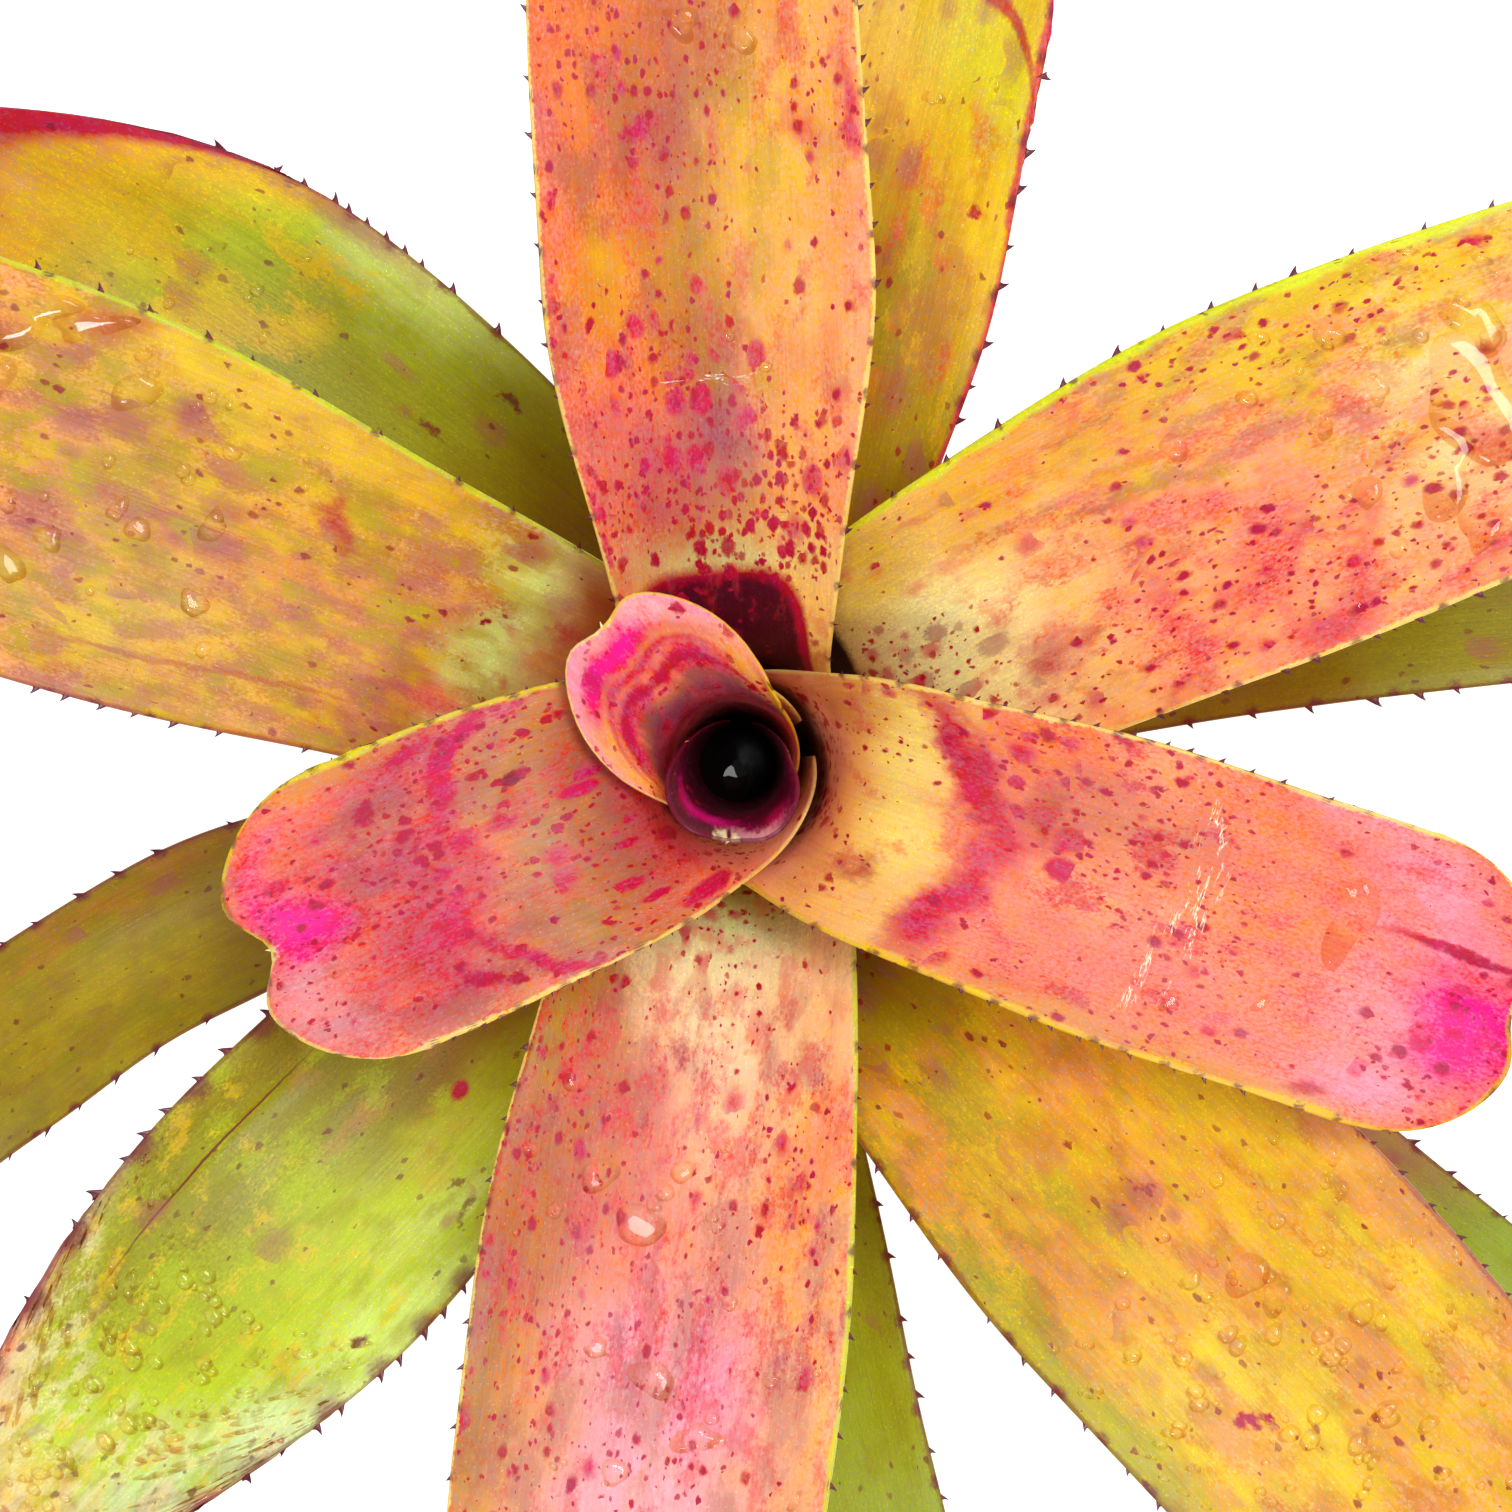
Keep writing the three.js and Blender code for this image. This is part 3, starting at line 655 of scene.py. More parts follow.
            Patch("crimson", 0.74, -0.28, 0.006, 0.045, 1),
            Patch("oxblood", 0.595, 0, 0.003, 0.025, 0.8), *DULL_FRECKLES,
        ),
        left=Rim("mauve", 0.7), right=PURPLE,
    ),
    # leaf_10
    Look(
        run=(
            (0.45, "umber"), (0.6, "khaki"), (0.72, "khaki"), (0.8, "mustard"),
            (0.985, "mustard"), (1, "crimson"),
        ),
        marks=(
            Patch("gold", 0.8, -0.8, 0.14, 0.35, 0.85), Patch("lime", 0.88, -0.5, 0.06, 0.35, 0.5),
            Mottle("brown", 6, 0.5, 0.45, 0.85, 0.5), Mottle("mustard", 4, 0.4, 0.55, 1, 0.5),
            Mottle("rose", 5, 0.2, 0.6, 0.85, 0.5),
            Patch("crimson", 0.775, -0.55, 0.004, 0.04, 0.9),
            Patch("crimson", 0.925, -0.4, 0.009, 0.5, 0.85, rough=0.4), *DULL_FRECKLES,
        ),
        left=PURPLE, right=Rim("cerise", 1.2, 0.8, 1.6),
    ),
    # leaf_11
    Look(
        run=(
            (0.42, "umber"), (0.5, "bronze"), (0.55, "olive"), (0.62, "chartreuse"),
            (0.74, "chartreuse"), (0.85, "lime"), (0.92, "apricot"), (1, "pink"),
        ),
        marks=(
            Patch("lime", 0.66, 0.5, 0.25, 0.35, 0.7),
            Patch("pale_green", 0.7, 0.95, 0.3, 0.45, 0.85),
            Patch("mint", 0.86, 0.65, 0.1, 0.35, 0.9), Patch("olive", 0.62, -0.55, 0.22, 0.4, 0.8),
            Patch("bronze", 0.6, -0.97, 0.2, 0.3, 0.5), Patch("plum", 0.88, -0.97, 0.1, 0.3, 0.6),
            Mottle("tan", 8, 0.2, 0.4, 0.6, 0.5), Mottle("chartreuse", 6, 0.4, 0.5, 1, 0.6),
            Mottle("olive", 5, 0.35, 0.5, 1, 0.4),
            Patch("crimson", 0.502, 0.18, 0.008, 0.055, 1, 0.4, rough=0.3),
            Mottle("plum", 4, 0.35, 0.84, 1, 0.5), Mottle("cream", 2.5, 0.5, 0.8, 1, 0.5),
            Mottle("coral", 4, 0.5, 0.92, 1, 0.6), Mottle("gold", 3, 0.3, 0.62, 0.9, 0.5),
            Patch("maroon", 0.702, 0.68, 0.007, 0.035, 0.9, rough=0.5),
            Patch("maroon", 0.56, 0.5, 0.006, 0.03, 0.7),
            Patch("maroon", 0.56, 0.72, 0.007, 0.035, 0.7),
            # Painted shade: the thin maroon line stands in for the shade in the crease that the
            # fold near across -0.6 makes.
            Patch("maroon", 0.665, -0.565, 0.105, 0.008, 0.9, 0.5, rough=0.05, lean=0.645),
            *GREEN_FRECKLES,
        ),
        left=Rim("maroon", 0.7, 0.5, 3), right=Rim("maroon", 0.7, 0.5, 3.4), scurf=0.35,
    ),
    # leaf_12
    Look(
        run=((0.4, "umber"), (0.55, "bronze"), (0.64, "olive"), (1, "olive")),
        marks=(Mottle("umber", 6, 0.5, strength=0.4), *GREEN_FRECKLES),
        left=PURPLE, right=PURPLE,
    ),
    # leaf_13
    Look(
        run=(
            (0.35, "umber"), (0.42, "olive"), (0.5, "moss"), (0.62, "moss"), (0.7, "chartreuse"),
            (0.8, "mustard"), (0.87, "ochre"), (0.92, "crimson"),
        ),
        marks=(
            Patch("green", 0.56, -0.9, 0.12, 0.5, 0.8),
            Patch("pale_green", 0.6, -0.95, 0.1, 0.35, 0.5), Mottle("olive", 6, 0.4, 0.4, 0.8, 0.4),
            Mottle("mustard", 6, 0.5, 0.6, 0.88, 0.7),
            Patch("maroon", 0.495, -0.25, 0.006, 0.04, 0.8),
            Patch("maroon", 0.47, -0.7, 0.005, 0.04, 0.8),
            Patch("plum", 0.75, -0.97, 0.15, 0.15, 0.6), *GREEN_FRECKLES,
        ),
        left=Rim("crimson", 0.9, 0.8), right=PURPLE, scurf=0.15,
    ),
    # leaf_14
    Look(
        run=((0.3, "umber"), (0.45, "olive"), (0.58, "moss"), (0.7, "green"), (1, "green")),
        marks=(
            Patch("green", 0.6, 0.3, 0.15, 0.3, 0.7), Mottle("olive", 6, 0.4, strength=0.4),
            *GREEN_FRECKLES,
        ),
        left=PURPLE, right=PURPLE, scurf=0.3,
    ),
    # leaf_15
    Look(
        run=((0.3, "umber"), (0.6, "olive"), (1, "moss")),
        marks=GREEN_FRECKLES,
        left=PURPLE, right=PURPLE,
    ),
    # leaf_16
    Look(
        run=((0.38, "umber"), (0.46, "khaki"), (0.6, "khaki"), (1, "olive")),
        marks=(
            Patch("brown", 0.52, -0.9, 0.2, 0.4, 0.45), Mottle("umber", 6, 0.5, strength=0.6),
            Mottle("olive", 5, 0.4, strength=0.5), *GREEN_FRECKLES,
        ),
        left=PURPLE, right=PURPLE,
    ),
    # leaf_17
    Look(
        run=((0.35, "mauve"), (0.55, "green"), (1, "green")),
        marks=(
            Patch("mauve", 0.5, 0.9, 0.15, 0.5, 0.7), Mottle("moss", 6, 0.4, strength=0.4),
            *GREEN_FRECKLES,
        ),
        left=PURPLE, right=PURPLE, scurf=0.2,
    ),
]

# The stem, its cut and its roots, as linear colours.
BARK_FURROW = (0.05, 0.028, 0.014, 1)
BARK_RIDGE = (0.26, 0.16, 0.085, 1)
BARK_DRY = (0.36, 0.27, 0.16, 1)
PITH = (0.62, 0.47, 0.27, 1)
PITH_FIBRE = (0.30, 0.17, 0.08, 1)
PITH_RIND = (0.22, 0.12, 0.06, 1)
PITH_STAIN = (0.5, 0.32, 0.16, 1)
ROOT_DARK = (0.07, 0.035, 0.018, 1)
ROOT_SKIN = (0.24, 0.15, 0.08, 1)
ROOT_CUT = (0.6, 0.45, 0.27, 1)

# Their grain, in features to the metre or round the stem, and where the rind, the bark and a
# root's cut end start.
FIBRES_AROUND = 14
FIBRES_UP = 90
BARK_PATCHES = 160
PITH_BUNDLES = 620.0
ROOT_GRIME = 700
RIND_RADII = (0.0165, 0.0185)
CUT_HEIGHTS = (0.0004, 0.0001)
ROOT_CUT_START = (0.955, 0.975)

# The levels of the grain between which one colour turns to the next, and how strong the new one is.
FURROW_LEVELS = (0.3, 0.7)
DRY_LEVELS = (0.5, 0.68)
BUNDLE_LEVELS = (0.35, 0.15)
STAIN_LEVELS = (0.45, 0.65)
GRIME_LEVELS = (0.35, 0.65)
PATCH_STRENGTH = 0.6

# Water: a drop's body, the painted shade on one side of its edge and the painted glow where light
# would gather in it, and the water in the cup, painted near black as shade.
WATER_BODY = (0.96, 0.86, 0.62, 1)
WATER_EDGE_SHADE = (0.62, 0.36, 0.16, 1)
WATER_PAINTED_GLOW = (1, 0.97, 0.9, 1)
# The cup's water is painted near black, as the shade deep in the cup.
CUP_WATER_SHADE = (0.006, 0.003, 0.003, 1)
WATER_IOR = 1.333

# Where a drop's painted edge shade and its painted glow lie: out from its middle, and from one side
# of it to the other.
EDGE_SHADE_OUT = (0.26, 0.5)
EDGE_SHADE_SIDE = (0.9, 0.2)
EDGE_SHADE_SHARES = (0.35, 1)
PAINTED_GLOW_OUT = (0.45, 0.2)
PAINTED_GLOW_SIDE = (0.4, 0.62)

# How a leaf's lower skin is coloured: its skin, its flush and its scurf.
UNDERSIDES = {
    "inner_leaf": ("peach", "rose", 0.18),
    "middle_leaf": ("mustard", "mauve", 0.28),
    "outer_leaf": ("green", "maroon", 0.38),
}


def linear(code):
    """A colour code such as #ff8040 as linear red, green and blue."""
    parts = [int(code[k:k + 2], 16) / 255 for k in (1, 3, 5)]
    return tuple(p / 12.92 if p <= 0.04045 else ((p + 0.055) / 1.055) ** 2.4 for p in parts)


# ---- The grain of the skins: features to the millimetre, across and along a leaf ----

GRAIN = (2.8, 1.5)
# Pale flecks: partly the skin's own pale specks, partly painted glints.
GLINT_FLECKS = (3.6, 2.6)
STREAKS = (2.2, 0.05)
DRIFT = (0.7, 0.35)
CLOUDS = (0.2, 0.1)
DUST = (0.12, 0.1)
CROWD = (0.06, 0.04)
RIM_FADING = (0.05, 0.12)
SCURF_BANDS = (0.03, 0.22)
SCRATCH_LINE = (0.05, 0.3)
SCRATCH_BREAKS = (0.5, 1.2)
WIDE_WANDER = (0.13, 0.1)
FINE_WANDER = (0.9, 0.6)

# ---- How marks stray from their places, in shares of the leaf and in millimetres ----

WIDE_STRAY = (0.35, 0.05, 0)
FINE_STRAY = (0.18, 0.024, 0)
RAGGED_STRAY = (1, 1.5, 0)
MIDDLE = (0.5, 0.5, 0.5)
SEED_STEP = 7.3
UNDERSIDE_SEED = 40

# ---- How marks end, and how spots are spread ----

STRETCH_FADE = 0.02
HALF_FADE = 0.3
SMALLEST_SPOT = 0.1
SPOT_SPREAD = 0.3
FAINTEST_SPOT = 0.7
SPOT_PLAY = 0.4
CROWD_LEVELS = (0.42, 0.62)
CROWD_SHARES = (0.2, 1.8)
CLOUD_LEVEL = 0.64
CLOUD_SPREAD = 0.28
CLOUD_FADE = 0.16
SCRATCH_END = (1.3, 0.5)
SCRATCH_LEVELS = (0.42, 0.56)
LINE_WIDTH = (0.013, 0.005)
RIM_CORE = 0.3
HALO_STRENGTH = 0.75

# ---- How far the finest grain roughens the edges of marks ----

RUN_STRAY = 0.35
RUN_GRIT = 0.12
SPOT_GRIT = 0.9
CLOUD_GRIT = 0.3
RIM_GRIT = 0.9
HALO_GRIT = 1.2
DUST_GRIT = 0.35
SCURF_GRIT = 0.3

# ---- Tone, hue, pale flecks with painted glints, dust, roughness and relief of the skins ----

HUE_SHIFTS = (0.05, 0.03)
SATURATION = 1.06
SATURATION_DRIFT = 0.3
GLINT_FLECK_LEVELS = (0.6, 0.72)
GLINT_FLECK_STRENGTH = 0.45
UPPER_TONES = (0.3, 0.35, 0.75)
LOWER_TONES = (0.35, 0.3, 0.5)
DUST_LEVELS = (0.42, 0.72)
DUST_START = (0.7, 0.92)
SCURF_LEVELS = (0.42, 0.6)
FLUSH_END = (0.75, 0.3)
FLUSH_STRENGTH = 0.5
ROUGHNESS_LEVELS = (0.3, 0.7)
ROUGHNESS_RANGE = (0.34, 0.48)
UPPER_BUMP = 0.00012
LOWER_BUMP = 0.00015


# ---- Settings ----

class PlantPalette(bpy.types.PropertyGroup):
    """The pigments that the leaves' skins are mixed from"""
    __annotations__ = {
        name: FloatVectorProperty(
            name=name.replace("_", " ").capitalize(),
            description=f"The pigment called {name.replace('_', ' ')}",
            subtype="COLOR", size=3, min=0, max=1, default=linear(code),
        )
        for name, code in COLOURS.items()
    }


class LeafSettings(bpy.types.PropertyGroup):
    """How finely the leaves are modelled, and their spines"""
    columns: IntProperty(name="Columns", description="Strips across a leaf", default=40, min=8)
    rows: IntProperty(name="Rows", description="Strips along a leaf", default=170, min=20)
    margin_thickness: FloatProperty(
        name="Margin", description="Thickness of a leaf's margin", default=0.00045,
        unit="LENGTH", subtype="DISTANCE", precision=5)
    spine_length: FloatProperty(
        name="Spine", description="How far a spine stands out of the margin", default=0.0012,
        unit="LENGTH", subtype="DISTANCE", precision=5)


class StemSettings(bpy.types.PropertyGroup):
    """The stem below the leaves, and its cut roots"""
    cut_radius: FloatProperty(name="Cut", description="Radius of the flat cut", default=0.020,
                              unit="LENGTH", subtype="DISTANCE")
    ridge: FloatProperty(name="Ridge", description="Depth of the furrows between old leaf scars",
                         default=0.0006, unit="LENGTH", subtype="DISTANCE", precision=5)
    roots: IntProperty(name="Roots", description="Cut root stubs round the foot", default=7, min=0)
    root_length: FloatProperty(name="Root length", description="Usual length of a root stub",
                               default=0.013, unit="LENGTH", subtype="DISTANCE")


class WaterSettings(bpy.types.PropertyGroup):
    """The water in the cup and the beads on the leaves"""
    meniscus: FloatProperty(name="Meniscus", description="How far the water climbs the cup's wall",
                            default=0.0015, unit="LENGTH", subtype="DISTANCE", precision=5)
    bead_height: FloatProperty(
        name="Bead height", description="Height of a bead, as a share of its radius",
        default=0.5, min=0.05)


class StageSettings(bpy.types.PropertyGroup):
    """Camera, floor and lights"""
    camera_height: FloatProperty(
        name="Camera height", description="Height of the camera over the floor", default=0.450,
        unit="LENGTH", subtype="DISTANCE")
    lens: FloatProperty(
        name="Lens", description="Focal length on a 36 mm wide sensor", default=58.33,
        unit="CAMERA")
    floor_colour: FloatVectorProperty(
        name="Floor", description="Colour of the floor", subtype="COLOR", size=3,
        default=(0.9, 0.9, 0.9), min=0, max=1)
    sky: FloatProperty(
        name="Sky", description="Strength of the even light from all round", default=0.5)
    key_power: FloatProperty(
        name="Key light", description="Power of the large soft light", default=11.5, unit="POWER")
    fill_power: FloatProperty(
        name="Fill light", description="Power of the light across from it", default=3.5,
        unit="POWER")


# ---- Materials ----

class Value:
    """A node's output. Python sums on it add the Math nodes that work them out."""

    def __init__(self, finish, output):
        self.finish = finish
        self.output = output

    def maths(self, operation, *inputs):
        return self.finish.node("Math", {"operation": operation}, dict(enumerate(inputs)))

    def __add__(self, other):
        return self.maths("ADD", self, other)

    def __sub__(self, other):
        return self.maths("SUBTRACT", self, other)

    def __rsub__(self, other):
        return self.maths("SUBTRACT", other, self)

    def __mul__(self, other):
        return self.maths("MULTIPLY", self, other)

    def __truediv__(self, other):
        return self.maths("DIVIDE", self, other)

    def __gt__(self, other):
        return self.maths("GREATER_THAN", self, other)

    def __abs__(self):
        return self.maths("ABSOLUTE", self)

    def __pow__(self, other):
        return self.maths("POWER", self, other)

    __radd__ = __add__
    __rmul__ = __mul__


class Finish:
    """A material that is put together node by node."""

    def __init__(self, name):
        self.material = bpy.data.materials.new(name)
        self.material.use_nodes = True
        self.tree = self.material.node_tree
        self.tree.nodes.clear()

    def node(self, kind, settings=None, inputs=None, output=0):
        made = self.tree.nodes.new(f"ShaderNode{kind}")
        for name, value in (settings or {}).items():
            if name == "stops":
                self.set_stops(made.color_ramp, value)
            else:
                setattr(made, name, value)
        for name, value in (inputs or {}).items():
            if isinstance(value, Value):
                self.tree.links.new(value.output, made.inputs[name])
            else:
                made.inputs[name].default_value = value
        return Value(self, made.outputs[output]) if made.outputs else made

    @staticmethod
    def set_stops(ramp, stops):
        while len(ramp.elements) < len(stops):
            ramp.elements.new(1)
        for element, (place, colour) in zip(ramp.elements, stops):
            element.position = place
            element.color = colour

    def ease(self, value, start, end, low=0, high=1):
        inputs = {"Value": value, "From Min": start, "From Max": end, "To Min": low, "To Max": high}
        return self.node("MapRange", {"interpolation_type": "SMOOTHSTEP"}, inputs)

    def vector(self, operation, *inputs, output=0):
        return self.node("VectorMath", {"operation": operation}, dict(enumerate(inputs)), output)

    def root(self, value):
        return self.node("Math", {"operation": "SQRT"}, {0: value})

    def scaled(self, vector, factor):
        return self.node("VectorMath", {"operation": "SCALE"}, {0: vector, "Scale": factor})

    def blend(self, under, over, share):
        settings = {"data_type": "RGBA", "clamp_factor": True}
        return self.node("Mix", settings, {0: share, 6: under, 7: over}, 2)

    def noise_at(self, where, detail, roughness, output=0):
        inputs = {"Vector": where, "Scale": 1, "Detail": detail, "Roughness": roughness}
        return self.node("TexNoise", {}, inputs, output)

    def uv_map(self, name):
        return self.node("UVMap", {"uv_map": name})

    def parts(self, vector):
        made = self.node("SeparateXYZ", {}, {0: vector})
        return [Value(self, output) for output in made.output.node.outputs]

    def close(self, height=None, depth=0.0002, **sockets):
        inputs = {name.replace("_", " ").title().replace("Ior", "IOR"): value
                  for name, value in sockets.items()}
        if height is not None:
            bump = {"Strength": 1, "Distance": depth, "Height": height}
            inputs["Normal"] = self.node("Bump", {}, bump)
        shader = self.node("BsdfPrincipled", {}, inputs)
        self.node("OutputMaterial", {}, {"Surface": shader})
        return self.material


class LeafSkin(Finish):
    """The skin of one leaf's face. It reads the leaf's own maps, in shares and in millimetres."""

    def __init__(self, name, palette, seed):
        super().__init__(name)
        self.palette = palette
        self.place = self.uv_map("place")
        self.across, self.along, _ = self.parts(self.place)
        self.skin = self.vector("ADD", self.uv_map("skin"), (0, 0, SEED_STEP * seed))
        self.rim, self.spine, _ = self.parts(self.uv_map("rim"))
        self.grain = self.noise(GRAIN, 3, 0.65)
        self.grit = self.grain - 0.5
        wide = self.vector("SUBTRACT", self.noise(WIDE_WANDER, 1, output=1), MIDDLE)
        fine = self.vector("SUBTRACT", self.noise(FINE_WANDER, 3, 0.6, output=1), MIDDLE)
        self.moved = self.vector("ADD", self.vector("MULTIPLY", wide, WIDE_STRAY),
                                 self.vector("MULTIPLY", fine, FINE_STRAY))
        self.wander = self.vector("ADD", self.place, self.moved)
        self.ragged = self.vector("ADD", self.skin, self.vector("MULTIPLY", fine, RAGGED_STRAY))
        self.crowd = self.noise(CROWD)
        self.streak = self.noise(STREAKS)
        self.cloud = self.noise(CLOUDS, 3)

    def noise(self, scales, detail=2, roughness=0.5, output=0):
        """Noise on the skin, with so many features to the millimetre."""
        where = self.vector("MULTIPLY", self.skin, (*scales, 1))
        return self.noise_at(where, detail, roughness, output)

    def colour(self, name):
        return (*getattr(self.palette, name), 1)

    def run(self, stops, inward):
        """Colours that follow each other along the leaf, or inwards from its margin."""
        if inward:
            stray = (self.crowd - 0.5) * RUN_STRAY
            place = self.rim / inward + stray + self.grit * RUN_GRIT
        else:
            place = self.parts(self.wander)[1]
        stops = [(start, self.colour(name)) for start, name in stops]
        return self.node("ValToRGB", {"stops": stops}, {0: place})

    def stretch(self, start, end):
        """1 between two places along the leaf, with soft ends."""
        begun = self.ease(self.along, start - STRETCH_FADE, start + STRETCH_FADE)
        return begun * self.ease(self.along, end + STRETCH_FADE, end - STRETCH_FADE)

    def reach(self, where, patch):
        """How far a place lies from a patch's centre, where 1 is its edge.

        Most patches are plain ellipses, and those take the nodes that render fastest.
        """
        if patch.corner == 2 and not patch.tilt and not patch.lean:
            shares = (1 / patch.wide, 1 / patch.long, 0)
            centre = (-patch.across / patch.wide, -patch.along / patch.long, 0)
            offset = self.vector("MULTIPLY_ADD", where, shares, centre)
            return self.vector("LENGTH", offset, output=1)
        offset = self.vector("SUBTRACT", where, (patch.across, patch.along, 0))
        sides = (1 / patch.wide, -patch.lean / patch.wide, 0)
        ends = (-patch.tilt / patch.long, 1 / patch.long, 0)
        sideways = self.vector("DOT_PRODUCT", offset, sides, output=1)
        lengthways = self.vector("DOT_PRODUCT", offset, ends, output=1)
        if patch.corner == 2:
            return self.root(sideways * sideways + lengthways * lengthways)
        powers = abs(sideways) ** patch.corner + abs(lengthways) ** patch.corner
        return powers ** (1 / patch.corner)

    def patch(self, under, patch):
        if patch.rough == 1:
            where = self.wander
        else:
            rough = (patch.rough, patch.rough, 0)
            where = self.vector("MULTIPLY_ADD", self.moved, rough, self.place)
        reach = self.reach(where, patch) + self.grit * patch.blur
        mask = self.ease(reach, 1 + patch.blur, 1 - patch.blur, 0, patch.strength)
        return self.blend(under, self.colour(patch.colour), mask)

    def spots(self, under, spots):
        """One spot in each cell that chance keeps, and more of them where they crowd."""
        size = (1 / spots.size, 1 / spots.size / spots.stretch, 0)
        start = (spots.size, 3 * spots.size, 0)
        where = self.vector("MULTIPLY_ADD", self.ragged, size, start)
        cells = self.node("TexVoronoi", {"voronoi_dimensions": "2D"}, {"Vector": where, "Scale": 1})
        distance = Value(self, cells.output.node.outputs["Distance"])
        chance, width, depth = self.parts(Value(self, cells.output.node.outputs["Color"]))
        radius = width * width * SPOT_SPREAD + SMALLEST_SPOT
        edge = distance / radius + self.grit * SPOT_GRIT
        inside = self.ease(edge, 1 + spots.soft, 1 - spots.soft)
        crowd = self.ease(self.crowd, *CROWD_LEVELS, *CROWD_SHARES)
        kept = (self.stretch(spots.start, spots.end) * crowd * spots.amount) > chance
        share = inside * kept * (depth * SPOT_PLAY + FAINTEST_SPOT) * spots.strength
        return self.blend(under, self.colour(spots.colour), share)

    def mottle(self, under, mottle):
        """Clouds whose own values give them their place in the noise."""
        size = (1 / mottle.size, 0.5 / mottle.size, 1)
        start = (mottle.amount * 9, mottle.strength * 5, mottle.size)
        where = self.vector("MULTIPLY_ADD", self.skin, size, start)
        clouds = self.noise_at(where, 3, 0.55) + self.grit * CLOUD_GRIT
        level = CLOUD_LEVEL - CLOUD_SPREAD * mottle.amount
        mask = self.ease(clouds, level - CLOUD_FADE / 4, level + 3 * CLOUD_FADE / 4)
        mask = mask * self.stretch(mottle.start, mottle.end)
        if mottle.side:
            mask = mask * self.ease(self.across * mottle.side, -HALF_FADE, HALF_FADE)
        return self.blend(under, self.colour(mottle.colour), mask * mottle.strength)

    def scratch(self, under, place):
        """Thin broken lines of dry skin within an ellipse."""
        mask = self.ease(self.reach(self.place, Patch("scar", *place)), *SCRATCH_END)
        line = abs(self.noise(SCRATCH_LINE, 5, 0.7) - 0.5)
        broken = self.ease(self.noise(SCRATCH_BREAKS, 3), *SCRATCH_LEVELS)
        share = self.ease(line, *LINE_WIDTH) * mask * broken
        return self.blend(under, self.colour("scar"), share)

    def edged(self, under, rim, side):
        """The coloured line along one margin, which comes and goes, and the spines' halos."""
        fading = self.noise(RIM_FADING, 3)
        edge = self.rim + self.grit * RIM_GRIT - (fading - 0.5) * 2 * rim.width
        share = self.ease(edge, rim.width, rim.width * RIM_CORE, 0, rim.strength)
        here = (self.across * side) > 0
        lined = self.blend(under, self.colour(rim.colour), share * here)
        near = self.root(self.rim * self.rim + self.spine * self.spine) + self.grit * HALO_GRIT
        halo = self.ease(near, rim.halo, rim.halo * RIM_CORE, 0, HALO_STRENGTH)
        return self.blend(lined, self.colour("maroon"), halo * here)

    def toned(self, skin, streaks, mottles, grains):
        """The skin with its fine streaks, clouds and grain, in light and dark and in hue, and pale
        flecks that are partly painted glints.
        """
        streak = self.streak - 0.5
        cloud = self.cloud - 0.5
        drift = self.noise(DRIFT, 4, 0.65) - 0.5
        by_drift, by_cloud = HUE_SHIFTS
        hue = 0.5 + drift * by_drift + cloud * by_cloud
        depth = SATURATION + self.grit * grains + drift * SATURATION_DRIFT
        inputs = {"Hue": hue, "Saturation": depth, "Color": skin}
        skin = self.node("HueSaturation", {}, inputs)
        tone = 1 + streak * streaks + cloud * mottles + self.grit * grains
        glint_flecks = self.ease(self.noise(GLINT_FLECKS, 2, 0.6), *GLINT_FLECK_LEVELS, 0, GLINT_FLECK_STRENGTH)
        return self.scaled(skin, tone + glint_flecks)

    def upper(self, look):
        """The upper skin: its run of colours, its marks in turn, and then its margins."""
        painters = {Patch: self.patch, Spots: self.spots, Mottle: self.mottle}
        skin = self.run(look.run, look.inward)
        for mark in look.marks:
            skin = painters[type(mark)](skin, mark)
        for place in look.scratches:
            skin = self.scratch(skin, place)
        if look.scurf:
            dust = self.noise(DUST, 4, 0.7) + self.grit * DUST_GRIT
            dust = self.ease(dust, *DUST_LEVELS, 0, look.scurf)
            dust = dust * self.ease(self.along, *DUST_START)
            skin = self.blend(skin, self.colour("silver"), dust)
        skin = self.edged(skin, look.left, 1)
        skin = self.edged(skin, look.right, -1)
        skin = self.toned(skin, *UPPER_TONES)
        height = self.streak * 0.4 + self.grain * 0.35
        rough = self.ease(self.cloud, *ROUGHNESS_LEVELS, *ROUGHNESS_RANGE)
        return self.close(height, UPPER_BUMP, base_color=skin, roughness=rough,
                          specular_ior_level=0.3)

    def lower(self, base, flush, scurf):
        """Dull skin crossed by bands of silvery scurf."""
        flushed = self.ease(self.along, *FLUSH_END, 0, FLUSH_STRENGTH)
        skin = self.blend(self.colour(base), self.colour(flush), flushed)
        skin = self.mottle(skin, Mottle(flush, size=9, amount=0.5, strength=0.4))
        skin = self.spots(skin, Spots("maroon", size=3, amount=0.15, strength=0.6))
        bands = self.noise(SCURF_BANDS, 3, 0.6) + self.grit * SCURF_GRIT
        scurfed = self.ease(bands, *SCURF_LEVELS, 0, scurf)
        skin = self.blend(skin, self.colour("silver"), scurfed)
        skin = self.toned(skin, *LOWER_TONES)
        height = self.streak * 0.5 + self.grain * 0.5
        return self.close(height, LOWER_BUMP, base_color=skin, roughness=0.55)


def shaded(name, foot, tip, start, end, roughness):
    """A finish that turns from one colour to another between two heights of a spine."""
    finish = Finish(name)
    height = finish.parts(finish.uv_map("place"))[1]
    skin = finish.blend((*foot, 1), (*tip, 1), finish.ease(height, start, end))
    return finish.close(base_color=skin, roughness=roughness)


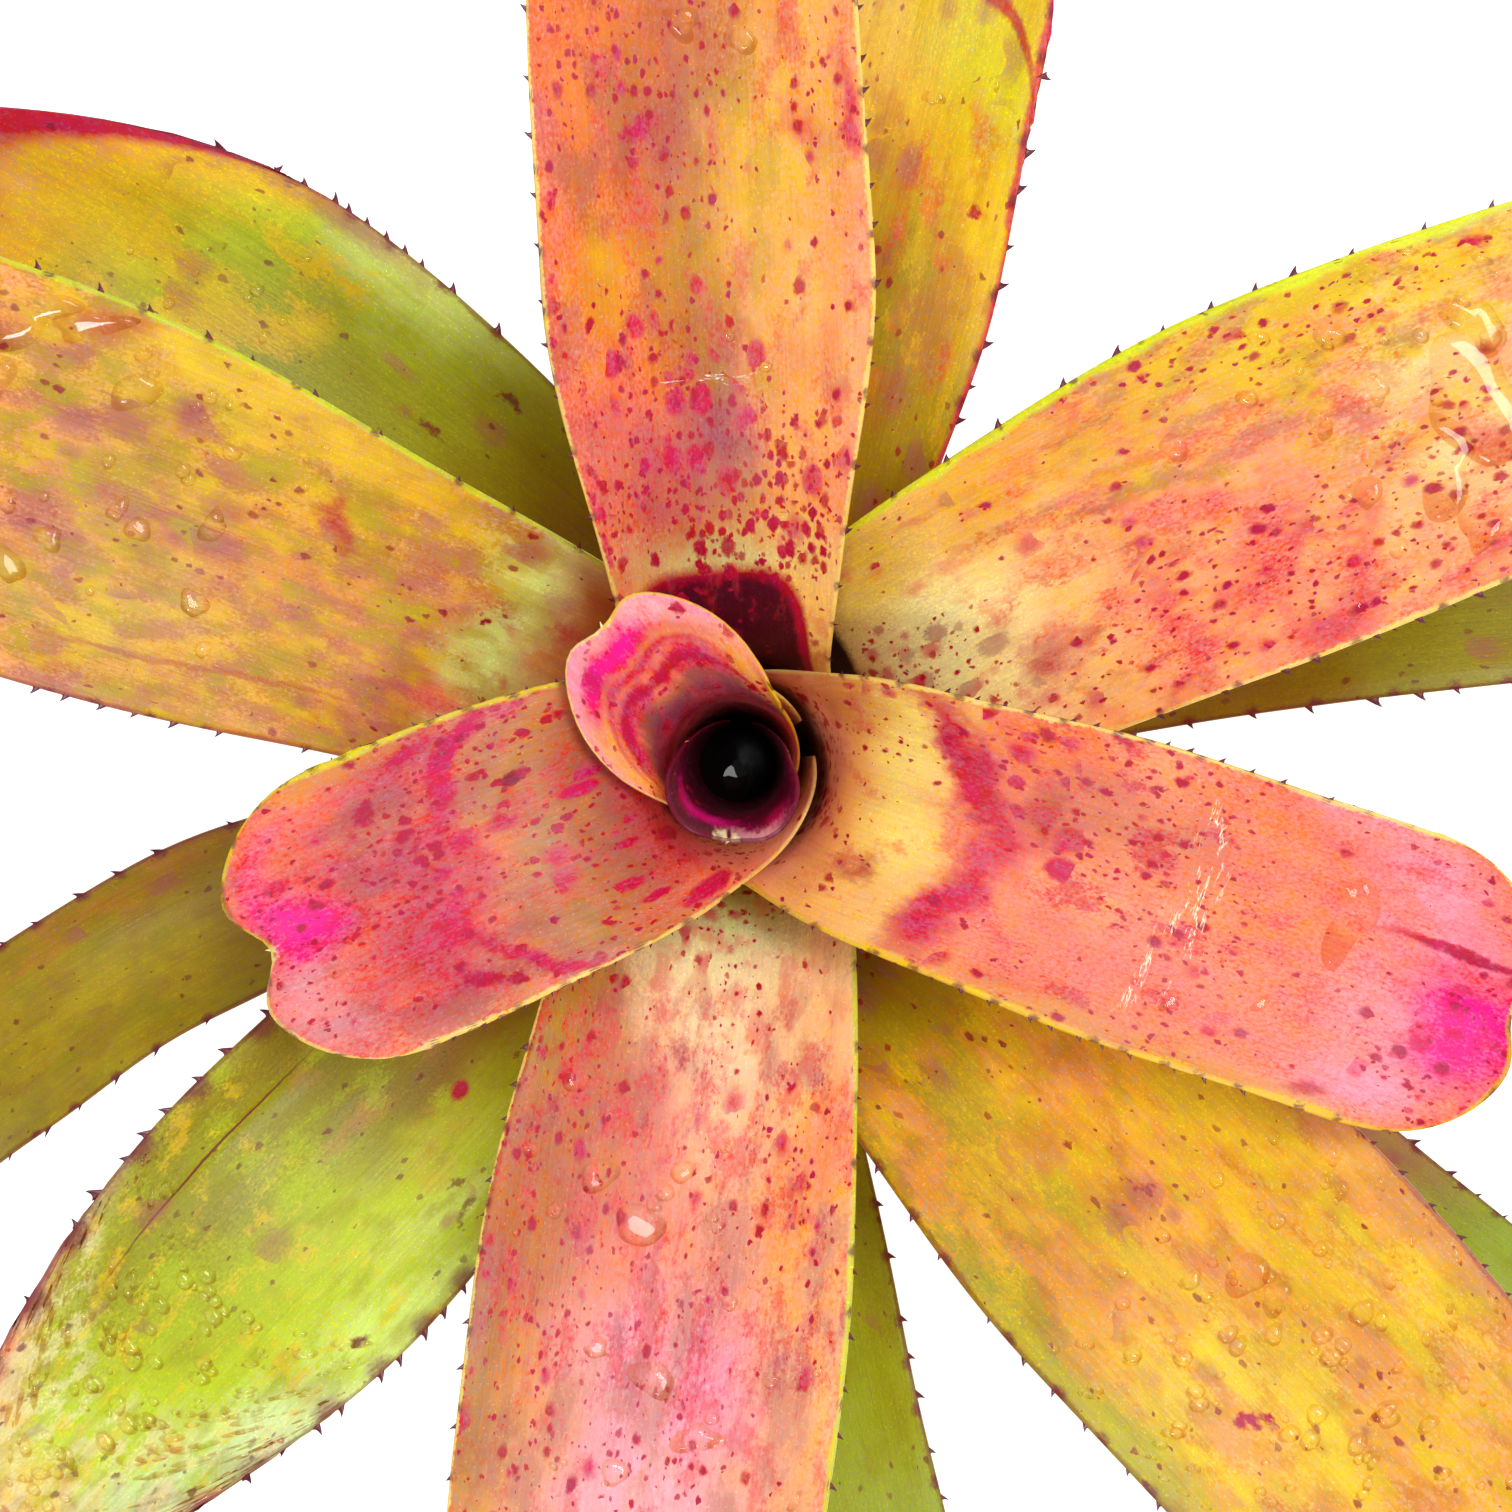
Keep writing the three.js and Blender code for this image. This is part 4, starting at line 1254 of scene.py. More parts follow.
def water_material():
    """Clear water. Lamps and bounced light shine through it to what lies below. Painted shade
    darkens one side of each drop's rim, and a painted glow lights the side across from it.
    """
    finish = Finish("water")
    clear = finish.node("BsdfTransparent")
    x, y, _ = finish.parts(finish.uv_map("lens"))
    out = finish.root((x - 0.5) * (x - 0.5) + (y - 0.5) * (y - 0.5))
    # Painted shade: the rim of each drop is darkened, most on one side.
    edge = finish.ease(out, *EDGE_SHADE_OUT) * finish.ease(y, *EDGE_SHADE_SIDE, *EDGE_SHADE_SHARES)
    tint_and_painted_light = finish.blend(WATER_BODY, WATER_EDGE_SHADE, edge)
    # Painted light: a glow across the drop from its darkened rim, where light would gather.
    painted_glow = finish.ease(out, *PAINTED_GLOW_OUT) * finish.ease(y, *PAINTED_GLOW_SIDE)
    tint_and_painted_light = finish.blend(tint_and_painted_light, WATER_PAINTED_GLOW, painted_glow)
    sockets = {"Base Color": tint_and_painted_light, "Roughness": 0.0, "IOR": WATER_IOR, "Transmission Weight": 1}
    drop = finish.node("BsdfPrincipled", {}, sockets)
    shadow = finish.node("LightPath", {}, {}, "Is Shadow Ray")
    bounced = finish.node("LightPath", {}, {}, "Is Diffuse Ray")
    passing = finish.node("Math", {"operation": "MAXIMUM"}, {0: shadow, 1: bounced})
    mixed = finish.node("MixShader", {}, {0: passing, 1: drop, 2: clear})
    finish.node("OutputMaterial", {}, {"Surface": mixed})
    return finish.material


def cup_water_shade_material():
    """Water coloured near black and too dark to see through, as painted shade for the depth of the
    cup.
    """
    finish = Finish("cup_water")
    return finish.close(base_color=CUP_WATER_SHADE, roughness=0.02, ior=WATER_IOR, specular_ior_level=0.3)


def bark_material():
    """Dry fibrous bark, darker in its furrows, with the paler flat cut below."""
    finish = Finish("bark")
    where = finish.node("TexCoord", {}, {}, "Object")
    x, y, z = finish.parts(where)
    around = finish.node("Math", {"operation": "ARCTAN2"}, {0: y, 1: x})
    coordinates = {0: around * FIBRES_AROUND, 1: z * FIBRES_UP, 2: 0.0}
    fibre_place = finish.node("CombineXYZ", {}, coordinates)
    fibre = finish.noise_at(fibre_place, 4, 0.65)
    patches = finish.noise_at(finish.scaled(where, BARK_PATCHES), 4, 0.6)
    bark = finish.blend(BARK_FURROW, BARK_RIDGE, finish.ease(fibre, *FURROW_LEVELS))
    dry = finish.ease(patches, *DRY_LEVELS, 0, PATCH_STRENGTH)
    bark = finish.blend(bark, BARK_DRY, dry)
    radius = finish.root(x * x + y * y)
    bundles = finish.node("TexVoronoi", {}, {"Vector": where, "Scale": PITH_BUNDLES})
    pith = finish.blend(PITH, PITH_FIBRE, finish.ease(bundles, *BUNDLE_LEVELS))
    pith = finish.blend(pith, PITH_RIND, finish.ease(radius, *RIND_RADII))
    stained = finish.ease(patches, *STAIN_LEVELS, 0, PATCH_STRENGTH)
    pith = finish.blend(pith, PITH_STAIN, stained)
    skin = finish.blend(bark, pith, finish.ease(z, *CUT_HEIGHTS))
    height = fibre * 0.7 + patches * 0.5
    return finish.close(height, 0.0005, base_color=skin, roughness=0.85)


def root_material():
    """Wiry brown skin with a pale cut end."""
    finish = Finish("root")
    along = finish.parts(finish.uv_map("place"))[1]
    where = finish.node("TexCoord", {}, {}, "Object")
    grime = finish.noise_at(finish.scaled(where, ROOT_GRIME), 3, 0.6)
    skin = finish.blend(ROOT_DARK, ROOT_SKIN, finish.ease(grime, *GRIME_LEVELS))
    skin = finish.blend(skin, ROOT_CUT, finish.ease(along, *ROOT_CUT_START))
    return finish.close(grime, 0.0003, base_color=skin, roughness=0.8)


# ---- Helpers for pieces ----

def start_piece(adder, name, **settings):
    """Adds a primitive with nothing else selected, and names it."""
    bpy.ops.object.select_all(action="DESELECT")
    adder(**settings)
    piece = bpy.context.active_object
    piece.name = piece.data.name = name
    return piece


def read_points(mesh):
    points = np.empty(len(mesh.vertices) * 3)
    mesh.vertices.foreach_get("co", points)
    return points.reshape(-1, 3)


def write_points(mesh, points):
    mesh.vertices.foreach_set("co", np.ascontiguousarray(points, dtype=np.float32).ravel())
    mesh.update()


def drop_maps(mesh):
    while mesh.uv_layers:
        mesh.uv_layers.remove(mesh.uv_layers[0])


def write_map(mesh, name, values):
    """Gives each corner of the mesh the pair of values of its vertex."""
    corners = np.empty(len(mesh.loops), dtype=np.int64)
    mesh.loops.foreach_get("vertex_index", corners)
    pairs = np.ascontiguousarray(values[corners], dtype=np.float32)
    mesh.uv_layers.new(name=name).uv.foreach_set("vector", pairs.ravel())


def pick(piece):
    """Makes a piece the active one, with nothing else selected."""
    bpy.ops.object.select_all(action="DESELECT")
    piece.select_set(True)
    bpy.context.view_layer.objects.active = piece


def apply_modifier(piece, kind, **settings):
    pick(piece)
    modifier = piece.modifiers.new(kind.title(), kind)
    for name, value in settings.items():
        setattr(modifier, name, value)
    bpy.ops.object.modifier_apply(modifier=modifier.name)


def stamp(template, matrices):
    """Copies of a template, each with its own mesh, at these matrices."""
    copies = []
    for matrix in matrices:
        copy = template.copy()
        copy.data = template.data.copy()
        copy.data.transform(matrix)
        bpy.context.collection.objects.link(copy)
        copies.append(copy)
    return copies


def join(pieces, name):
    """Makes these pieces one, under this name."""
    pick(pieces[0])
    for piece in pieces:
        piece.select_set(True)
    bpy.ops.object.join()
    joined = pieces[0]
    joined.name = joined.data.name = name
    return joined


def remove(piece):
    bpy.data.objects.remove(piece, do_unlink=True)


def shade_smooth(piece):
    pick(piece)
    bpy.ops.object.shade_smooth()


def placing(origin, x_axis, y_axis, z_axis, scale):
    """A matrix with these axes and this scale, at an origin in millimetres."""
    turned = Matrix([x_axis, y_axis, z_axis]).transposed().to_4x4()
    return Matrix.Translation(Vector(origin) * MM) @ turned @ Matrix.Diagonal((*scale, 1))


# ---- Leaves ----

def leaf_blade(leaf, settings, skins):
    """A grid bent to the leaf's form and given its thickness, with an upper and a lower skin."""
    name = f"leaf_{leaf.order + 1:02d}_blade"
    piece = start_piece(bpy.ops.mesh.primitive_grid_add, name, size=2,
                        x_subdivisions=settings.columns, y_subdivisions=settings.rows)
    mesh = piece.data
    for skin in skins:
        mesh.materials.append(skin)
    grid = read_points(mesh)
    across = -grid[:, 0]
    along = (grid[:, 1] + 1) / 2
    write_points(mesh, leaf.point(along, across) * MM)
    s, share = leaf.skin_place(along, across)
    rim = leaf.edge_distance(along, across)
    drop_maps(mesh)
    write_map(mesh, "place", np.stack([across, along], -1))
    write_map(mesh, "skin", np.stack([share * leaf.width_at(s) / 2, s], -1))
    write_map(mesh, "rim", np.stack([rim, leaf.spine_distance(s, share)], -1))
    thin = settings.margin_thickness / MM / BLADE_THICKNESS
    thinning = mix(thin, 1, ease(rim, 0, MARGIN_WIDTH))
    weights = leaf.thickness_at(along) / BLADE_THICKNESS * thinning
    group = piece.vertex_groups.new(name="thickness")
    levels = np.round(weights * THICKNESS_LEVELS).astype(int)
    for level in np.unique(levels):
        points = np.nonzero(levels == level)[0].tolist()
        group.add(points, float(level / THICKNESS_LEVELS), "REPLACE")
    apply_modifier(piece, "SOLIDIFY", thickness=BLADE_THICKNESS * MM, offset=0,
                   vertex_group="thickness", material_offset=1, material_offset_rim=0)
    piece.vertex_groups.clear()
    shade_smooth(piece)
    return piece


def spine_template(name, length, material):
    """A hooked, flattened spine on its foot: +X outwards, +Y to the leaf's end."""
    piece = start_piece(bpy.ops.mesh.primitive_cone_add, name,
                        vertices=SPINE_SIDES, radius1=1, radius2=SPINE_POINT, depth=1)
    bpy.ops.object.mode_set(mode="EDIT")
    for height in (-0.25, 0, 0.25):
        bpy.ops.mesh.select_all(action="SELECT")
        bpy.ops.mesh.bisect(plane_co=(0, 0, height), plane_no=(0, 0, 1))
    bpy.ops.object.mode_set(mode="OBJECT")
    points = read_points(piece.data)
    height = points[:, 2] + 0.5
    slim = 1 - SPINE_WAIST * height * (1 - height)
    out = height * (1 + SPINE_ROOT) - SPINE_ROOT
    forward = points[:, 0] * slim * SPINE_WIDTH + SPINE_HOOK * height ** SPINE_CURVE
    up = points[:, 1] * slim * SPINE_THICKNESS
    write_points(piece.data, np.stack([out, forward, up], -1) * length)
    drop_maps(piece.data)
    for map_name in ("place", "skin", "rim"):
        write_map(piece.data, map_name, np.stack([height, height], -1))
    piece.data.materials.append(material)
    shade_smooth(piece)
    return piece


def spine_matrix(leaf, along, across, side, scale):
    """Where a spine stands: +X out of the margin, +Y along it."""
    places = np.array([along - SHORT_STEP, along, min(along + SHORT_STEP, 1)])
    before, foot, after = leaf.point(places, np.full(3, float(across)))
    normal = Vector(leaf.frame_at(np.array([along]), np.array([float(across)]))[2][0])
    forward = Vector(after - before).normalized()
    outward = (forward.cross(normal) * -side).normalized()
    return placing(foot, outward, forward, outward.cross(forward), scale)


def spine_places(leaf):
    """Matrices of the spines on both margins."""
    rng = random.Random(leaf.order)
    matrices = []
    for side in (-1, 1):
        for s in leaf.spine_stations(side):
            size = leaf.spine_size * rng.uniform(*SPINE_PLAY)
            scale = (size, size * rng.uniform(*SPINE_BREADTH), size)
            matrices.append(spine_matrix(leaf, s / leaf.length, side, side, scale))
    return matrices


class BROMELIAD_OT_leaves(bpy.types.Operator):
    """Adds each leaf with the spines on its margins and the nib at its end"""
    bl_idname = "bromeliad.leaves"
    bl_label = "Leaves"

    def execute(self, context):
        scene = context.scene
        settings = scene.bromeliad_leaves
        palette = scene.bromeliad_palette
        horn = shaded("spine", palette.maroon, palette.wine, start=0.2, end=0.8, roughness=0.35)
        spine = spine_template("spine", settings.spine_length, horn)
        pale = shaded("nib", palette.pink, palette.cream, start=0, end=0.5, roughness=0.4)
        nib = spine_template("nib", settings.spine_length, pale)
        lower_skins = {}
        for slot, colours in UNDERSIDES.items():
            skin = LeafSkin(f"{slot}_underside", palette, UNDERSIDE_SEED)
            lower_skins[slot] = skin.lower(*colours)
        for leaf, look in zip(LEAVES, LOOKS):
            node = f"leaf_{leaf.order + 1:02d}"
            slot = slot_of(node)
            upper_skin = LeafSkin(f"{node}_skin", palette, leaf.order).upper(look)
            blade = leaf_blade(leaf, settings, (upper_skin, lower_skins[slot]))
            tip = Matrix.Rotation(math.pi / 2, 4, "Z")
            nib_place = spine_matrix(leaf, 1 - SHORT_STEP, 0, 1, NIB_SCALE) @ tip
            parts = [blade, *stamp(nib, [nib_place])]
            if not leaf.rolled:
                parts += stamp(spine, spine_places(leaf))
            piece = join(parts, f"{node}_dressed")
            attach(piece, BODY)
            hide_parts(node)
        remove(spine)
        remove(nib)
        return {"FINISHED"}


def slot_of(node):
    """The record's material slot of a node."""
    parts = frame["record"]["subparts"]
    return next(part["material_slot"] for part in parts if part["node"] == node)


# ---- Stem and roots ----

# The stem's foot and the edge of its cut, in metres, and how finely round pieces are turned.
FOOT_START = 0.06
FOOT_EDGE = (0.0008, 0.0007)
FOOT_SWELL = 0.0012
FOOT_FURROWS = 5.5
CUT_BEVEL = ((0.0006, 0.0002), (0.0012, 0))
FOOT_STEPS = 26
STEPS_PER_LEAF = 4
ROUND_SIDES = 96
SHARP_EDGE = math.radians(50)

# Lumps of the bark: their depth as a share of the radius, their waves, in turns round the stem and
# radians to the millimetre, and the heights in millimetres between which they come and go.
LUMP_DEPTH = 0.012
LUMP_WAVES = ((7, 2.4), (4, -1.1), (19, 0.8))
LUMP_FADE = ((0, 2), (9, 13))

# The root stubs: sizes in metres, the taper as a share and the bend in radians.
ROOT_RADIUS = 0.0014
ROOT_TAPER = 0.45
ROOT_SUNK = 0.004
ROOT_HEIGHT = 0.0065
ROOT_BEND = 0.25
ROOT_RINGS = 15
ROOT_SIDES = 12


def turned(name, profile, sides):
    """A sphere whose rings are moved to a profile of (radius, height), from its top down."""
    rings = len(profile) - 1
    piece = start_piece(bpy.ops.mesh.primitive_uv_sphere_add, name,
                        segments=sides, ring_count=rings)
    points = read_points(piece.data)
    ring = np.round(np.arccos(np.clip(points[:, 2], -1, 1)) / math.pi * rings).astype(int)
    radius, height = np.array(profile)[ring].T
    around = np.arctan2(points[:, 1], points[:, 0])
    write_points(piece.data, around_axis(radius, around, height))
    drop_maps(piece.data)
    write_map(piece.data, "place", np.stack([around / math.pi, 1 - ring / rings], -1))
    return piece


def stem_profile(settings):
    """The stem's outline in metres, from its top down to the middle of the cut."""
    profile = [(0, STEM_TOP * MM)]
    for step in range(len(LEAVES) * STEPS_PER_LEAF):
        order = step / STEPS_PER_LEAF
        height = base_height(order)
        radius = sheath_radius(order, height) - SHEATH_THICKNESS / 2 - 2 * SEAT_GAP
        profile.append((radius * MM, height * MM))
    foot_radius, foot_height = profile[-1]
    inset, rise = FOOT_EDGE
    for share in np.linspace(FOOT_START, 1, FOOT_STEPS):
        swell = FOOT_SWELL * math.sin(math.pi * share)
        furrow = settings.ridge * math.cos(2 * math.pi * FOOT_FURROWS * share)
        radius = mix(foot_radius, settings.cut_radius - inset, share) + swell + furrow
        profile.append((radius, mix(foot_height, rise, share)))
    profile += [(settings.cut_radius - inset, height) for inset, height in CUT_BEVEL]
    profile += [(settings.cut_radius * share, 0) for share in (0.75, 0.5, 0.25, 0)]
    return profile


def root_stub(settings, index):
    """A tapered root, bent down towards its cut end. The sines make each root its own."""
    length = settings.root_length * (0.8 + 0.25 * math.sin(3 * index + 1))
    places = np.linspace(0, 1, ROOT_RINGS)
    radii = ROOT_RADIUS * (1 - ROOT_TAPER * places) * (1 + 0.08 * np.sin(17 * places + index))
    profile = [(radius, place * length) for radius, place in zip(radii, places)]
    profile = [(0, length), *reversed(profile), (0, 0)]
    piece = turned("root", profile, ROOT_SIDES)
    points = read_points(piece.data)
    share = points[:, 2] / length
    dip = math.radians(6 + 4 * math.sin(2 * index)) + ROOT_BEND * share
    sway = 0.0009 * np.sin(4 * share + index)
    start = settings.cut_radius - ROOT_SUNK
    height = ROOT_HEIGHT + 0.0008 * math.sin(4 * index)
    out = start + points[:, 2] * np.cos(dip) - points[:, 0] * np.sin(dip)
    up = height - points[:, 2] * np.sin(dip) + points[:, 0] * np.cos(dip)
    spread = 2 * math.pi * index / settings.roots + 0.35 * math.sin(5 * index)
    sideways = points[:, 1] + sway
    x = out * math.cos(spread) - sideways * math.sin(spread)
    y = out * math.sin(spread) + sideways * math.cos(spread)
    write_points(piece.data, np.stack([x, y, up], -1))
    bpy.ops.object.mode_set(mode="EDIT")
    bpy.ops.mesh.select_all(action="SELECT")
    bpy.ops.mesh.normals_make_consistent(inside=False)
    bpy.ops.object.mode_set(mode="OBJECT")
    shade_smooth(piece)
    return piece


class BROMELIAD_OT_stem(bpy.types.Operator):
    """Adds the stem with its old leaf scars, its flat cut and its root stubs"""
    bl_idname = "bromeliad.stem"
    bl_label = "Stem"

    def execute(self, context):
        settings = context.scene.bromeliad_stem
        stem = turned("stem_bark", stem_profile(settings), ROUND_SIDES)
        points = read_points(stem.data)
        around = np.arctan2(points[:, 1], points[:, 0])
        height = points[:, 2] / MM
        waves = [np.sin(turns * around + climb * height) for turns, climb in LUMP_WAVES]
        lumps = waves[0] * waves[1] + 0.5 * waves[2]
        start, end = LUMP_FADE
        low = ease(height, *start) * (1 - ease(height, *end))
        points[:, :2] *= (1 + LUMP_DEPTH * lumps * low)[:, None]
        write_points(stem.data, points)
        bpy.ops.object.shade_smooth_by_angle(angle=SHARP_EDGE)
        stem.data.materials.append(bark_material())
        root = root_material()
        parts = [stem]
        for index in range(settings.roots):
            stub = root_stub(settings, index)
            stub.data.materials.append(root)
            parts.append(stub)
        piece = join(parts, "stem_dressed")
        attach(piece, BODY)
        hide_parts("stem")
        return {"FINISHED"}


# ---- Water ----

# The larger beads: a leaf's number, then places along and across it and sizes in millimetres.
BEADS = {
    4: ((0.87, 0.2, 6.5), (0.78, -0.45, 2.2), (0.83, -0.3, 1.6)),
    5: ((0.81, 0.05, 3.4), (0.795, -0.2, 3), (0.62, -0.1, 1.4), (0.6, -0.3, 1.6)),
    6: (
        (0.73, 0.2, 4), (0.7, 0.0, 4.5), (0.61, -0.15, 5.5), (0.585, -0.4, 4.5), (0.575, 0.02, 3),
        (0.53, -0.65, 3.5), (0.755, -0.1, 3), (0.685, -0.25, 2.5), (0.65, 0.3, 2),
    ),
    7: (
        (0.79, 0.3, 6), (0.775, 0.0, 12), (0.745, -0.2, 9), (0.775, -0.45, 10), (0.72, 0.5, 3.5),
        (0.69, 0.15, 3), (0.66, 0.4, 2.5), (0.61, 0.35, 3.5), (0.7, -0.2, 3.5), (0.725, 0.2, 3),
        (0.8, -0.6, 4), (0.82, 0.1, 6),
    ),
    8: (
        (0.775, -0.62, 9), (0.745, -0.72, 7), (0.76, -0.3, 4.5), (0.69, -0.5, 5.5),
        (0.67, 0.0, 2.5), (0.615, -0.08, 3.5), (0.61, 0.3, 3.5), (0.655, 0.05, 3), (0.72, 0.35, 4),
        (0.7, 0.2, 3), (0.64, -0.7, 2.5), (0.8, 0.5, 5), (0.78, 0.75, 4),
    ),
    9: ((0.68, 0.08, 5), (0.7, 0.1, 3.5), (0.74, 0.3, 3), (0.66, -0.1, 2.5), (0.79, 0.1, 3)),
    10: ((0.83, -0.2, 2), (0.87, -0.5, 1.6)),
    11: ((0.8, 0.2, 2.2), (0.78, -0.1, 2.4), (0.82, 0.35, 2)),
}
# Fine beads: a leaf's number, then how many, from where to where along it, and their usual size.
DEW = {
    6: (30, 0.55, 0.9, 1.5),
    7: (60, 0.66, 0.95, 1.8),
    8: (45, 0.56, 0.95, 1.6),
    9: (130, 0.62, 0.93, 1.6),
    11: (260, 0.7, 0.97, 1.6),
    13: (20, 0.6, 0.8, 1.2),
}


# A drop's outline: the number of its lobes, their depth and how far each drop turns them.
BEAD_LOBES = ((2, 0.05, 1), (3, 0.035, 2), (5, 0.02, -1))
BEAD_BELLY = 0.12
BEAD_SEED = 11
BEAD_GRID = (32, 16)
DEW_GRID = (12, 5)
LOW_BEAD = 4
BEAD_KINDS = range(2, 6)
DEW_KINDS = range(4)
DEW_REACH = 0.85
DEW_PLAY = (0.5, 1.6)

# The water in the cup, in millimetres.
WALL_GAP = 0.05
MENISCUS_CURVE = 2.2
WATER_RINGS = 28
WALL_RINGS = 8
WALL_START = 0.6


def bead_templates(kinds, sides, rings):
    """Flattened drops of radius 1 whose outlines wander, each kind more than the one before."""
    templates = []
    for kind in kinds:
        piece = start_piece(bpy.ops.mesh.primitive_uv_sphere_add, "bead",
                            segments=sides, ring_count=rings)
        points = read_points(piece.data)
        around = np.arctan2(points[:, 1], points[:, 0])
        reach = points[:, 0] ** 2 + points[:, 1] ** 2
        wander = 0
        for lobes, depth, turn in BEAD_LOBES:
            wander = wander + depth * kind * np.cos(lobes * around + turn * kind)
        points[:, :2] *= (1 + wander)[:, None]
        points[:, 2] *= np.where(points[:, 2] > 0, np.sqrt(1 + reach), BEAD_BELLY)
        write_points(piece.data, points)
        templates.append(piece)
    return templates


def lay_bead(template, leaf, along, across, size, height, turn):
    """A copy of a drop that lies on a leaf's upper face and follows it."""
    bead = stamp(template, [Matrix.Rotation(turn, 4, "Z")])[0]
    points = read_points(bead.data) * (size / 2)
    width = leaf.width_at(np.array([along * leaf.length]))[0]
    places = np.clip(along + points[:, 1] / leaf.length, 0, 1)
    sides = np.clip(across - points[:, 0] / (width / 2), -1, 1)
    normal = leaf.frame_at(places, sides)[2]
    lift = points[:, 2] * height + leaf.thickness_at(places) / 2
    points = leaf.point(places, sides) + normal * lift[:, None]
    write_points(bead.data, points * MM)
    write_map(bead.data, "lens", (points - points.mean(axis=0))[:, :2] / size + 0.5)
    return bead


class BROMELIAD_OT_beads(bpy.types.Operator):
    """Adds the beads of water on the leaves"""
    bl_idname = "bromeliad.beads"
    bl_label = "Water beads"

    def execute(self, context):
        settings = context.scene.bromeliad_water
        rng = random.Random(BEAD_SEED)
        templates = bead_templates(BEAD_KINDS, *BEAD_GRID)
        fine_templates = bead_templates(DEW_KINDS, *DEW_GRID)
        parts = []
        for number, beads in BEADS.items():
            for along, across, size in beads:
                template = rng.choice(templates)
                height = settings.bead_height * min(1, LOW_BEAD / size)
                turn = rng.uniform(0, math.tau)
                leaf = LEAVES[number - 1]
                parts.append(lay_bead(template, leaf, along, across, size, height, turn))
        for number, (count, start, end, size) in DEW.items():
            leaf = LEAVES[number - 1]
            for _ in range(count):
                along = rng.uniform(start, end)
                across = rng.uniform(-DEW_REACH, DEW_REACH)
                drop = size * rng.uniform(*DEW_PLAY)
                template = rng.choice(fine_templates)
                turn = rng.uniform(0, math.tau)
                height = settings.bead_height
                parts.append(lay_bead(template, leaf, along, across, drop, height, turn))
        for template in (*templates, *fine_templates):
            remove(template)
        piece = join(parts, "water_beads")
        shade_smooth(piece)
        piece.data.materials.append(water_material())
        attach(piece, BODY)
        return {"FINISHED"}


class BROMELIAD_OT_cup_water(bpy.types.Operator):
    """Adds the water that stands in the cup"""
    bl_idname = "bromeliad.cup_water"
    bl_label = "Cup water"

    def execute(self, context):
        meniscus = context.scene.bromeliad_water.meniscus / MM
        bottom = STEM_TOP + SEAT_GAP
        top = WATER_TOP - meniscus
        inset = SHEATH_THICKNESS / 2 + WALL_GAP
        edge = sheath_radius(0, WATER_TOP) - inset
        profile = []
        for share in np.linspace(0, 1, WATER_RINGS):
            climb = meniscus * math.exp(-MENISCUS_CURVE * (1 - share))
            profile.append((edge * share, top + climb))
        for height in np.linspace(WATER_TOP - WALL_START, bottom, WALL_RINGS):
            profile.append((sheath_radius(0, height) - inset, height))
        profile.append((0, bottom))
        profile = [(radius * MM, height * MM) for radius, height in profile]
        piece = turned("cup_water_dressed", profile, ROUND_SIDES)
        bpy.ops.object.shade_smooth_by_angle(angle=SHARP_EDGE)
        piece.data.materials.append(cup_water_shade_material())
        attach(piece, BODY)
        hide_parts("cup_water")
        return {"FINISHED"}


# ---- Stage ----

CAMERA_PLACE = (0.00257, 0.0011)
SENSOR_WIDTH = 36
NEAREST = 0.01
FLOOR_SIZE = 40
FLOOR_DROP = 0.0005
FLOOR_GLOW = 0.75
WHITE = (1, 1, 1, 1)
KEY_PLACE = (0.34, 0.26, 1.5)
KEY_SIZE = 0.7
FILL_PLACE = (-0.24, -0.66, 1.32)
FILL_SIZE = 0.28
LIT_PLACE = (0, 0, 0.1)


def add_light(name, place, size, power):
    """A long light, half as wide, that faces the middle of the plant."""
    bpy.ops.object.light_add(type="AREA", location=place)
    light = bpy.context.active_object
    light.name = light.data.name = name
    light.data.shape = "RECTANGLE"
    light.data.size = size
    light.data.size_y = size / 2
    light.data.energy = power
    away = Vector(place) - Vector(LIT_PLACE)
    light.rotation_euler = away.to_track_quat("Z", "Y").to_euler()


